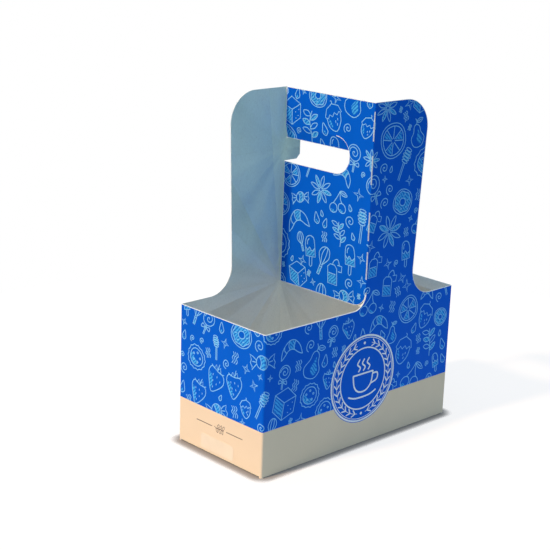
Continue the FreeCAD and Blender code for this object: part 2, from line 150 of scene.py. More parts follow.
def oval(rx, ry, count=20, cx=0.0, cy=0.0, wave=0.0, waves=0):
    """A closed oval, whose radius may wave."""
    result = []
    for a in (i * 2 * HALF_TURN / count for i in range(count)):
        swing = 1 + wave * math.cos(waves * a)
        result.append((cx + rx * swing * math.cos(a), cy + ry * swing * math.sin(a)))
    return result


def smooth(points, closed=False, parts=4):
    """A smooth curve through a few points, as a hand would draw it."""
    points = [np.array(p, float) for p in points]
    count = len(points)
    result = []
    for i in range(count if closed else count - 1):
        around = [(i + k) % count if closed else min(max(i + k, 0), count - 1) for k in (-1, 0, 1, 2)]
        p0, p1, p2, p3 = (points[k] for k in around)
        for k in range(parts):
            u = k / parts
            bend = 2 * p0 - 5 * p1 + 4 * p2 - p3
            twist = 3 * p1 - p0 - 3 * p2 + p3
            point = p1 + 0.5 * u * (p2 - p0 + u * (bend + u * twist))
            result.append(tuple(point))
    if not closed:
        result.append(tuple(points[-1]))
    return result


def lens(x0, y0, x1, y1, fat):
    """A closed leaf shape between two points."""
    middle = np.array([(x0 + x1) / 2, (y0 + y1) / 2])
    across = np.array([y0 - y1, x1 - x0]) * fat
    one, two = middle + across, middle - across
    return smooth([(x0, y0), tuple(one), (x1, y1), tuple(two)], closed=True, parts=3)


class Motif:
    """Lines and hatched areas of one small drawing, in a circle of radius 1."""

    def __init__(self):
        self.lines = []
        self.areas = []

    def line(self, *points):
        """Straight strokes from point to point."""
        self.lines.append((list(points), False))

    def curve(self, *points):
        """A smooth stroke through the points."""
        self.lines.append((smooth(points), False))

    def ring(self, *loops):
        """Strokes along closed loops."""
        self.lines += [(loop, True) for loop in loops]

    def hatch(self, *loops):
        """An area between closed loops, filled with fine strokes."""
        self.areas.append(list(loops))

    def patch(self, *points):
        """A soft-edged area to hatch."""
        self.hatch(smooth(points, True, 2))


def motif(draw):
    """Makes a function that draws on a motif into one that returns a new motif."""
    def made():
        m = Motif()
        draw(m)
        return m
    return made


def spoke(angle, radius):
    """The point at this angle and radius."""
    return radius * math.cos(angle), radius * math.sin(angle)


@motif
def ring_cake(m):
    icing = oval(0.80, 0.76, 28, wave=0.06, waves=7)
    hole = oval(0.30, 0.28, 12)
    m.ring(oval(0.97, 0.93, 24), icing, hole)
    m.hatch(icing, hole)
    for k in range(6):
        a = k * 1.05 + 0.3
        x, y = 0.54 * math.cos(a), 0.52 * math.sin(a)
        m.line((x - 0.06, y - 0.05), (x + 0.07, y + 0.04))


@motif
def crescent_roll(m):
    back = smooth([(-0.95, -0.45), (-0.72, 0.22), (-0.2, 0.62), (0.35, 0.6), (0.8, 0.15), (0.95, -0.5)])
    belly = smooth([(0.95, -0.5), (0.62, -0.32), (0.22, -0.02), (-0.22, 0.0), (-0.6, -0.26), (-0.95, -0.45)])
    m.ring(back + belly[1:-1])
    for top, low in (((-0.55, 0.42), (-0.42, -0.1)), ((-0.12, 0.66), (-0.1, 0.02)),
                     ((0.42, 0.55), (0.28, -0.06))):
        m.curve(top, ((top[0] + low[0]) / 2 - 0.1, (top[1] + low[1]) / 2), low)
    m.hatch([(-0.12, 0.66), (0.42, 0.55), (0.28, -0.06), (-0.1, 0.02)])


@motif
def lollipop(m):
    m.ring(oval(0.56, 0.56, 22, 0.0, 0.38))
    m.line(*[(0.048 * a * math.cos(a), 0.38 + 0.048 * a * math.sin(a)) for a in (i * 0.5 for i in range(20))])
    m.line((-0.05, -0.2), (-0.08, -0.98), (0.02, -0.98), (0.05, -0.2))
    m.curve((0.03, -0.42), (0.36, -0.24), (0.42, -0.52), (0.03, -0.42))
    m.curve((-0.03, -0.42), (-0.36, -0.24), (-0.42, -0.54), (-0.03, -0.42))


@motif
def pear(m):
    m.ring(smooth([(0.0, 0.58), (0.26, 0.42), (0.34, 0.02), (0.62, -0.42), (0.36, -0.92), (-0.3, -0.94),
                   (-0.6, -0.44), (-0.34, 0.02), (-0.24, 0.42)], True, 3))
    m.curve((0.0, 0.56), (0.04, 0.8), (-0.06, 0.98))
    m.ring(lens(0.04, 0.74, 0.62, 0.9, 0.24))
    m.line((0.1, 0.76), (0.48, 0.86))
    m.patch((0.1, 0.3), (0.2, -0.1), (0.46, -0.45), (0.24, -0.8), (-0.1, -0.5), (0.0, -0.1))


@motif
def ice_lolly(m):
    dome = smooth([(-0.4, 0.4), (-0.3, 0.82), (0.0, 0.96), (0.3, 0.82), (0.4, 0.4)])
    m.ring([(-0.4, -0.35)] + dome + [(0.4, -0.35)])
    m.line((-0.11, -0.35), (-0.11, -0.86), (0.0, -0.97), (0.11, -0.86), (0.11, -0.35))
    m.curve((-0.4, 0.22), (-0.2, 0.06), (-0.06, 0.24), (0.14, 0.02), (0.4, 0.2))
    m.hatch([(-0.34, 0.12), (-0.2, 0.0), (-0.06, 0.16), (0.14, -0.04), (0.34, 0.12), (0.34, -0.29),
             (-0.34, -0.29)])
    m.curve((-0.22, 0.4), (-0.2, 0.62), (-0.08, 0.76))


@motif
def hazelnut(m):
    m.curve((-0.62, 0.12), (-0.5, -0.5), (0.0, -0.95), (0.5, -0.5), (0.62, 0.12))
    m.ring([(-0.72, 0.2), (-0.5, 0.02), (-0.3, 0.2), (-0.1, 0.0), (0.12, 0.2), (0.32, 0.0), (0.52, 0.18),
            (0.74, 0.1), (0.6, 0.55), (0.1, 0.78), (-0.45, 0.62)])
    m.curve((0.1, 0.78), (0.16, 0.9), (0.08, 0.99))
    m.patch((-0.46, -0.02), (-0.3, -0.2), (-0.2, -0.62), (-0.4, -0.46))
    for x, y in ((0.1, -0.3), (0.3, -0.2), (0.2, -0.5)):
        m.line((x, y), (x - 0.02, y - 0.12))


@motif
def citrus_slice(m):
    m.ring(oval(0.96, 0.96, 26), oval(0.80, 0.80, 22))
    for k in range(8):
        a = k * QUARTER_TURN / 2
        m.line(spoke(a, 0.12), spoke(a, 0.76))
    for k in (0, 3, 5):
        a, b = k * QUARTER_TURN / 2 + 0.1, (k + 1) * QUARTER_TURN / 2 - 0.1
        c = (a + b) / 2
        m.hatch([spoke(c, 0.15)] + [spoke(x, 0.7) for x in (a, c, b)])


@motif
def cherry_pair(m):
    for cx, cy in ((-0.45, -0.5), (0.42, -0.38)):
        m.ring(oval(0.38, 0.36, 16, cx, cy))
        m.curve((cx, cy + 0.36), (cx * 0.4 + 0.05, 0.3), (0.12, 0.82))
        m.hatch(lens(cx - 0.28, cy - 0.12, cx + 0.14, cy - 0.30, 0.22))
    m.ring(lens(0.12, 0.82, 0.86, 0.62, 0.22))
    m.line((0.2, 0.8), (0.7, 0.66))


@motif
def leaf_sprig(m):
    m.curve((-0.1, -0.98), (0.05, -0.3), (-0.02, 0.4), (0.12, 0.95))
    for k, side in enumerate((1, -1, 1, -1, 1, -1)):
        y = -0.62 + 0.26 * k
        leaf = lens(0.02, y, side * 0.62, y + 0.34, 0.22)
        m.ring(leaf)
        if k in (0, 3, 4):
            m.hatch(leaf)


@motif
def star_spice(m):
    for k in range(8):
        a = k * QUARTER_TURN / 2
        petal = lens(*spoke(a, 0.16), *spoke(a, 0.95), 0.17)
        m.ring(petal)
        if k % 3 == 0:
            m.hatch(petal)
    m.ring(oval(0.13, 0.13, 8))


@motif
def sugar_cube(m):
    m.ring([(0.0, 0.95), (0.8, 0.5), (0.8, -0.42), (0.0, -0.92), (-0.8, -0.42), (-0.8, 0.5)])
    m.line((-0.8, 0.5), (0.0, 0.08), (0.8, 0.5))
    m.line((0.0, 0.08), (0.0, -0.92))
    m.hatch([(-0.72, 0.38), (-0.06, 0.04), (-0.06, -0.78), (-0.72, -0.38)])
    for x, y in ((0.3, -0.1), (0.55, -0.3), (0.35, -0.5), (0.6, 0.1)):
        m.line((x, y), (x + 0.05, y + 0.02))


@motif
def wrapped_sweet(m):
    m.ring(oval(0.46, 0.42, 18))
    fan = [(0.44, 0.1), (0.7, 0.3), (0.98, 0.42), (0.88, 0.12), (0.98, -0.1), (0.86, -0.3), (0.92, -0.5),
           (0.68, -0.28), (0.44, -0.1)]
    for side in (-1, 1):
        m.line(*[(side * x, y) for x, y in fan])
        m.line((side * 0.52, 0.0), (side * 0.8, 0.02))
    m.curve((-0.2, 0.38), (-0.05, 0.0), (-0.2, -0.38))
    m.curve((0.2, 0.38), (0.32, 0.0), (0.2, -0.38))
    m.patch((-0.16, 0.36), (0.2, 0.36), (0.3, 0.0), (0.2, -0.36), (-0.16, -0.36), (-0.02, 0.0))


@motif
def soft_berry(m):
    m.ring(smooth([(0.0, 0.5), (0.5, 0.55), (0.68, 0.12), (0.38, -0.5), (0.0, -0.92), (-0.38, -0.5),
                   (-0.68, 0.12), (-0.5, 0.55)], True, 3))
    m.line((-0.55, 0.62), (-0.3, 0.5), (-0.2, 0.8), (0.0, 0.56), (0.18, 0.86), (0.3, 0.52), (0.56, 0.66))
    m.line((0.0, 0.6), (0.06, 0.98))
    for x, y in ((-0.3, 0.15), (0.05, 0.2), (0.36, 0.1), (-0.18, -0.2), (0.16, -0.22), (-0.02, -0.55)):
        m.line((x, y), (x + 0.02, y - 0.1))
    m.patch((-0.6, 0.1), (-0.25, -0.1), (-0.05, -0.8), (-0.4, -0.45))


@motif
def infusion_bag(m):
    m.ring([(-0.42, 0.22), (-0.2, 0.42), (0.2, 0.42), (0.42, 0.22), (0.42, -0.92), (-0.42, -0.92)])
    m.curve((0.0, 0.42), (0.1, 0.7), (0.42, 0.88), (0.62, 0.55))
    m.line((0.46, 0.5), (0.86, 0.5), (0.86, 0.08), (0.56, 0.08))
    m.line((-0.32, -0.2), (0.32, -0.2))
    m.hatch([(-0.36, -0.26), (0.36, -0.26), (0.36, -0.86), (-0.36, -0.86)])


@motif
def wire_whisk(m):
    m.ring([(-0.09, -0.98), (-0.09, -0.28), (0.09, -0.28), (0.09, -0.98)])
    for wide in (0.16, 0.42):
        m.curve((-0.05, -0.28), (-wide, 0.3), (-wide * 0.75, 0.78), (0.0, 0.96), (wide * 0.75, 0.78),
                (wide, 0.3), (0.05, -0.28))
    m.line((-0.12, -0.42), (0.12, -0.42))
    m.hatch([(-0.07, -0.95), (0.07, -0.95), (0.07, -0.48), (-0.07, -0.48)])


@motif
def round_biscuit(m):
    m.ring(oval(0.9, 0.88, 42, wave=0.05, waves=14), oval(0.66, 0.64, 18))
    for k in range(5):
        m.ring(oval(0.07, 0.07, 6, *spoke(k * 1.257, 0.36)))
    m.patch((-0.55, 0.3), (-0.2, -0.1), (0.2, -0.45), (-0.25, -0.55), (-0.6, -0.2))


@motif
def honey_wand(m):
    m.line((0.06, -0.98), (0.06, 0.1))
    m.line((-0.06, -0.98), (-0.06, 0.1))
    m.ring(*[oval(0.34 - 0.05 * abs(k - 2), 0.085, 14, 0.0, 0.16 + 0.18 * k) for k in range(5)])
    m.hatch(oval(0.22, 0.34, 12, 0.0, 0.5))


@motif
def curl(m):
    m.line(*[spoke(a, 0.085 * a) for a in (i * 0.42 for i in range(26))])


@motif
def sparkle(m):
    m.ring([spoke(k * QUARTER_TURN / 2, 0.24 if k % 2 else 0.95) for k in range(8)])


@motif
def drop(m):
    m.ring(smooth([(0.0, 0.95), (0.38, 0.15), (0.5, -0.4), (0.0, -0.85), (-0.5, -0.4), (-0.38, 0.15)],
                  True, 3))
    m.hatch(lens(-0.22, -0.1, 0.1, -0.68, 0.25))


@motif
def ripples(m):
    for k in (-1, 0, 1):
        m.curve(*[(0.4 * k + x, y) for x, y in ((0, -0.8), (0.2, -0.4), (-0.1, 0.0), (0.2, 0.4), (0, 0.8))])


@motif
def badge_cup(m):
    """The plain cup in the middle of the badge."""
    m.curve((-0.62, 0.22), (-0.52, -0.3), (-0.22, -0.58), (0.22, -0.58), (0.52, -0.3), (0.62, 0.22))
    m.line((-0.62, 0.22), (0.62, 0.22))
    m.curve((0.6, 0.1), (0.9, 0.08), (0.88, -0.22), (0.48, -0.34))
    m.curve((-0.85, -0.7), (-0.4, -0.84), (0.4, -0.84), (0.85, -0.7))
    for x in (-0.3, 0.0, 0.3):
        m.curve((x, 0.36), (x + 0.1, 0.52), (x - 0.08, 0.7), (x + 0.04, 0.88))


LARGE = (ring_cake, crescent_roll, lollipop, citrus_slice, cherry_pair, leaf_sprig, star_spice, pear,
         sugar_cube, wrapped_sweet, soft_berry, infusion_bag, hazelnut, wire_whisk, round_biscuit,
         ice_lolly, honey_wand)
SMALL = (curl, sparkle, drop, ripples)


# Triangulating the flat blank

class Plan:
    """Points and lines that the flat triangulation must keep."""

    def __init__(self):
        self.points = []
        self.edges = []

    def path(self, points, closed=False):
        """Keeps a line from point to point."""
        start = len(self.points)
        self.points += [Vector(p) for p in points]
        count = len(points)
        self.edges += [(start + i, start + i + 1) for i in range(count - 1)]
        if closed:
            self.edges.append((start + count - 1, start))

    def triangles(self):
        """Corner coordinates, triangles with the print side up, and each corner's own point."""
        result = delaunay_2d_cdt(self.points, self.edges, [], 0, 1e-4, True)
        corners = np.array([tuple(v) for v in result[0]])
        faces = np.array([f for f in result[2] if len(f) == 3])
        a, b, c = (corners[faces[:, k]] for k in range(3))
        turned = (b[:, 0] - a[:, 0]) * (c[:, 1] - a[:, 1]) - (b[:, 1] - a[:, 1]) * (c[:, 0] - a[:, 0])
        faces[turned < 0] = faces[turned < 0][:, ::-1]
        return corners, faces, result[3]


def inside(points, loops):
    """Which points lie inside an odd number of closed loops."""
    hits = np.zeros(len(points), bool)
    x, y = points[:, 0], points[:, 1]
    for loop in loops:
        loop = np.array(loop)
        for (x0, y0), (x1, y1) in zip(loop, np.roll(loop, -1, axis=0)):
            if y0 == y1:
                continue
            crosses = (y0 > y) != (y1 > y)
            if crosses.any():
                at = x0 + (y[crosses] - y0) * (x1 - x0) / (y1 - y0)
                hits[crosses] ^= x[crosses] < at
    return hits


def near_line(points, line, closed, half):
    """Which points lie within half a stroke of a line."""
    line = np.array(line)
    ends = np.roll(line, -1, axis=0) if closed else line[1:]
    starts = line if closed else line[:-1]
    result = np.zeros(len(points), bool)
    for a, b in zip(starts, ends):
        along = b - a
        size = max(float(along @ along), 1e-12)
        u = np.clip(((points - a) @ along) / size, 0, 1)
        gap = points - a - u[:, None] * along
        result |= (gap**2).sum(axis=1) < half * half
    return result


def stroke_sides(line, closed, half):
    """Closed loops along a stroke: its two sides, or one loop round an open stroke."""
    line = np.array(line)
    if closed:
        along = np.roll(line, -1, axis=0) - np.roll(line, 1, axis=0)
    else:
        along = np.gradient(line, axis=0)
    along /= np.maximum(np.linalg.norm(along, axis=1), 1e-9)[:, None]
    across = np.stack([-along[:, 1], along[:, 0]], axis=1) * half
    left, right = line + across, line - across
    if closed:
        return [left, right]
    tip, tail = line[-1] + along[-1] * half * STROKE_TIP, line[0] - along[0] * half * STROKE_TIP
    return [np.vstack([left, [tip], right[::-1], [tail]])]


class HalfBlank:
    """Half of the die-cut sheet: its flat outline, and where each flat point goes when folded."""

    loose_gap = 0.3
    slot_width = 0.3
    slot_length = 19.0
    notch = 0.4
    notch_rise = 0.05
    end_gap = 2.0
    lock_step = 9.0
    lock_slope = 10.0
    lock_slit = 0.6
    end_flap = 42.0
    end_taper = 14.0
    tab_chamfer = 3.3
    tab_lip = 1.6
    slot_levels = (123.5, 151.5, 221.0)
    grip_slot_level = 191.0
    bulge = 0.5
    end_bulge = 0.6
    bow_fade = 1.25
    front_lean = 2.0
    back_lean = -0.5
    rib_pitch = 9.0
    wall_pitch = 11.5
    neck_pitch = 8.5

    def __init__(self, sizes, back):
        self.back = back
        self.length, self.width = sizes.half_length / MM, sizes.half_width / MM
        self.top, self.rim, self.radius = sizes.height / MM, sizes.wall / MM, sizes.corner / MM
        for name in ("board", "neck_top", "neck_waist", "neck_corner", "foot", "relief", "hole_low",
                     "hole_high", "tab_reach"):
            setattr(self, name, getattr(sizes, name) / MM)
        self.angle = sizes.grip_angle

        self.bend = QUARTER_TURN * self.board
        self.turn = QUARTER_TURN * self.radius
        self.flat_x = self.length - self.radius
        self.flat_y = self.width - self.radius
        self.front_start = -self.flat_x
        self.end_stop = self.front_start - self.turn
        self.end_start = self.end_stop - 2 * self.flat_y
        self.start = self.end_start - self.turn
        self.end_middle = (self.end_stop + self.end_start) / 2
        self.inner = self.width - self.board
        self.free = self.leaf_s(self.inner - self.loose_gap)
        self.nose_z = self.rim + self.relief
        self.hole_radius = (self.hole_high - self.hole_low) / 2
        self.hole_middle = (self.hole_high + self.hole_low) / 2
        centre = -self.width + sizes.hole_end / MM + self.hole_radius
        self.hole_s = self.leaf_s(-centre if back else centre)
        self.tab_low = self.hole_low + self.loose_gap
        self.tab_high = self.hole_low + sizes.tab_height / MM
        self.grip_low = self.hole_high - sizes.grip_depth / MM
        self.flap_x = self.length - self.board - self.end_gap
        self.flap_y = self.width - self.board - self.end_gap
        self.slots = self.fold_slots()

    def leaf_s(self, y):
        """Flat place of a point of the leaf that lies at this y when folded."""
        return -(self.bend + y + self.inner)

    def fold_slots(self):
        """Slots along the leaf's fold, from low to high; the one beside the hand hole is in front only."""
        levels = self.slot_levels if self.back else sorted(self.slot_levels + (self.grip_slot_level,))
        return [(low, low + self.slot_length) for low in levels]

    def outline(self):
        """The closed outline of the half blank, print side up."""
        t, bend, notch, up = self.board, self.bend, self.notch, self.notch_rise
        left, right = self.end_middle - self.flap_y, self.end_middle + self.flap_y
        low = 2 * t - bend - self.end_flap
        deep = t - bend - (self.lock_step - self.lock_slit / 2 + self.inner)
        shallow = t - bend - (-self.lock_step - self.lock_slit / 2 + self.inner)
        edge = self.flap_x
        points = [(self.start, 0), (left - notch, 0), (left - notch, 2 * t + up), (left, 2 * t + up)]
        points += [(left + self.end_taper, low), (right - self.end_taper, low)]
        points += [(right, 2 * t + up), (right + notch, 2 * t + up), (right + notch, 0)]
        points += [(-edge - notch, 0), (-edge - notch, t + up), (-edge, t + up), (-edge, deep)]
        points += [(-self.lock_slope, deep), (self.lock_slope, shallow), (edge, shallow)]
        points += [(edge, t + up), (edge + notch, t + up), (edge + notch, 0), (self.flat_x, 0)]
        points += [(self.flat_x, self.rim)]
        points += arc(self.neck_waist + self.foot, self.rim + self.foot, self.foot, 270, 180)
        points += arc(self.neck_top - self.neck_corner, self.top - self.neck_corner, self.neck_corner, 0, 90)
        points += [(self.free, self.top)]
        if not self.back:
            points += self.grip_outline()
        points += [(self.free, self.rim + self.loose_gap)]
        points += arc(-self.relief, self.nose_z, self.relief - self.loose_gap, 270, 360)
        points += arc(-self.relief, self.nose_z, self.relief, 0, -90)
        points += [(self.start, self.rim)]
        return points

    def grip_outline(self):
        """The strip left at the hole's upper edge, and the hole below it."""
        drop = self.grip_low - self.hole_middle
        side = math.degrees(math.asin(drop / self.hole_radius))
        strip = arc(self.hole_s - self.loose_gap, self.hole_middle, self.hole_radius, side, 90)
        cut = arc(self.hole_s, self.hole_middle, self.hole_radius, 90, -90)
        return [(self.free, self.grip_low)] + strip + cut + [(self.free, self.hole_low)]

    def hole_outline(self):
        """The back leaf's hand hole, which leaves the tab standing in it."""
        cut = arc(self.hole_s, self.hole_middle, self.hole_radius, 270, 90)
        chamfer, reach, lip_top = self.tab_chamfer, -self.tab_reach, self.hole_high - self.loose_gap
        tab = [(0, lip_top), (-self.tab_lip, lip_top), (-self.tab_lip, self.tab_high)]
        tab += [(reach + chamfer, self.tab_high), (reach, self.tab_high - chamfer)]
        tab += [(reach, self.tab_low + chamfer), (reach + chamfer, self.tab_low), (0, self.tab_low)]
        return [(0, self.hole_low)] + cut + [(0, self.hole_high)] + tab

    def loops(self):
        """Every edge of the board in this half."""
        middle, half = -self.bend / 2, self.slot_width / 2
        left, right = middle - half, middle + half
        result = [self.outline()]
        if self.back:
            result.append(self.hole_outline())
        for low, high in self.slots:
            result.append([(left, low), (right, low), (right, high), (left, high)])
        return result

    def fold_lines(self):
        """Lines that let the flat sheet bend: close together in a fold, wide apart elsewhere."""
        lines = []
        t, bend = self.board, self.bend
        for first, last in ((self.start, self.end_start), (self.end_stop, self.front_start)):
            lines += [[(s, 0), (s, self.rim)] for s in np.linspace(first, last, 7)]
        lines += [[(s, self.nose_z - 4), (s, self.top)] for s in np.linspace(-bend, 0, 6)]
        flaps = ((2 * t, self.end_middle, self.flap_y), (t, 0, self.flap_x))
        for level, middle, reach in flaps:
            for q in np.linspace(level - bend, level, 4):
                lines.append([(middle - reach - 1, q), (middle + reach + 1, q)])
        lines += [[(s, -60), (s, self.top + 1)] for s in np.arange(-174, 93, self.rib_pitch)]
        levels = [*np.arange(8, 100, self.wall_pitch), *np.arange(106, self.top, self.neck_pitch)]
        lines += [[(self.start, q), (self.flat_x, q)] for q in levels]
        lines.append([(self.free - 1, self.hole_high), (self.hole_s, self.hole_high)])
        return lines

    def is_tab(self, s, q):
        """Points of the tab and its lip, which stay in the back wall's plane past the fold."""
        if not self.back:
            return np.zeros(len(s), bool)
        middle = self.loose_gap / 2
        tab = (s > -self.tab_reach - 1) & (q < self.tab_high + middle)
        lip = (s > -self.tab_lip - 1) & (q < self.hole_high - middle)
        return (s < 0) & (q > self.tab_low - middle) & (tab | lip)

    def is_leaf(self, s, q):
        """Points of the web's leaf: beyond the fold and above its cut."""
        middle = self.relief - self.loose_gap / 2
        across = np.clip(s + self.relief, 0, middle)
        cut = self.nose_z - np.sqrt(middle**2 - across**2)
        return (s < 0) & (q > cut) & ~self.is_tab(s, q)

    def is_grip(self, s, q):
        """Points of the strip that is bent back through the hand hole."""
        if self.back:
            return np.zeros(len(s), bool)
        away = np.hypot(s - self.hole_s + self.loose_gap / 2, q - self.hole_middle)
        beside = (s < self.hole_s) | (away < self.hole_radius)
        return beside & (q < self.hole_high) & (q > self.grip_low - 1)

    def swell(self, s, q):
        """How far the board bows off its plane, outwards."""
        front = (s > self.front_start) & ~self.is_leaf(s, q)
        across = np.clip((s + self.flat_x) / (2 * self.flat_x), 0, 1)
        fade = self.rim * self.bow_fade
        bow = self.bulge * np.sin(HALF_TURN * across) * np.sin(HALF_TURN * np.clip(q, 0, fade) / fade)
        reach = np.clip(s / self.neck_top, 0, 1)
        rise = np.clip((q - self.rim) / (self.top - self.rim), 0, 1)
        lean = self.back_lean if self.back else self.front_lean
        bow = bow + lean * reach**2 * rise**1.5
        side = np.clip((self.end_stop - s) / (self.end_stop - self.end_start), 0, 1)
        end = self.end_bulge * self.bulge * np.sin(HALF_TURN * side)
        end = end * np.sin(HALF_TURN * np.clip(q, 0, self.rim) / self.rim)
        return np.where(front, bow, np.where(s < self.end_stop, end, 0.0))

    def place(self, s, q):
        """Folded place and outward normal of flat points, in millimetres."""
        s, q = np.asarray(s, float), np.asarray(q, float)
        width, t = self.width, self.board
        turn = np.clip((self.front_start - s) / self.radius, 0, QUARTER_TURN)
        last = np.clip((self.end_start - s) / self.radius, 0, QUARTER_TURN)
        on_end = np.clip(self.end_stop - s, 0, 2 * self.flat_y)
        x = np.where(s > self.front_start, s, -self.flat_x - self.radius * np.sin(turn))
        x = x + self.radius * (1 - np.cos(last))
        y = -self.flat_y - self.radius * np.cos(turn) + on_end + self.radius * np.sin(last)
        nx = -np.sin(turn) * np.cos(last)
        ny = -np.cos(turn) * (s > self.end_start) + np.sin(last)
        z, nz = q.copy(), np.zeros(len(q))

        ending = np.abs(s - self.end_middle) <= self.flap_y + 0.01
        fronting = np.abs(s) <= self.flap_x + 0.01
        for level, where in ((2 * t, ending), (t, fronting)):
            where = where & (q < level)
            angle = np.clip((level - q) / t, 0, QUARTER_TURN)
            inwards = t * (1 - np.cos(angle)) + np.maximum(0, level - self.bend - q)
            x = np.where(where, x - nx * inwards, x)
            y = np.where(where, y - ny * inwards, y)
            z = np.where(where, level - t * np.sin(angle), z)
            nz = np.where(where, -np.sin(angle), nz)
            nx = np.where(where, nx * np.cos(angle), nx)
            ny = np.where(where, ny * np.cos(angle), ny)

        leaf = self.is_leaf(s, q)
        bent = np.clip(-s / t, 0, QUARTER_TURN)
        run = np.maximum(0, -s - self.bend)
        x = np.where(leaf, -t * np.sin(bent), x)
        y = np.where(leaf, -self.inner - t * np.cos(bent) + run, y)
        nx = np.where(leaf, -np.sin(bent), nx)
        ny = np.where(leaf, -np.cos(bent), ny)

        grip = self.is_grip(s, q) & leaf
        down = self.hole_high - q
        x = np.where(grip, -t + down * math.sin(self.angle), x)
        z = np.where(grip, self.hole_high - down * math.cos(self.angle), z)
        nx = np.where(grip, -math.cos(self.angle), nx)
        nz = np.where(grip, -math.sin(self.angle), nz)

        step = 0.05
        bow = self.swell(s, q)
        slope_s = (self.swell(s + step, q) - self.swell(s - step, q)) / (2 * step)
        slope_q = (self.swell(s, q + step) - self.swell(s, q - step)) / (2 * step)
        wall = ~leaf & (q > 2 * t)
        bow, slope_s, slope_q = (np.where(wall, v, 0.0) for v in (bow, slope_s, slope_q))
        place = np.stack([x + nx * bow, y + ny * bow, z], axis=1)
        normal = np.stack([nx + ny * slope_s, ny - nx * slope_s, nz - slope_q], axis=1)
        normal /= np.linalg.norm(normal, axis=1)[:, None]
        return place, normal


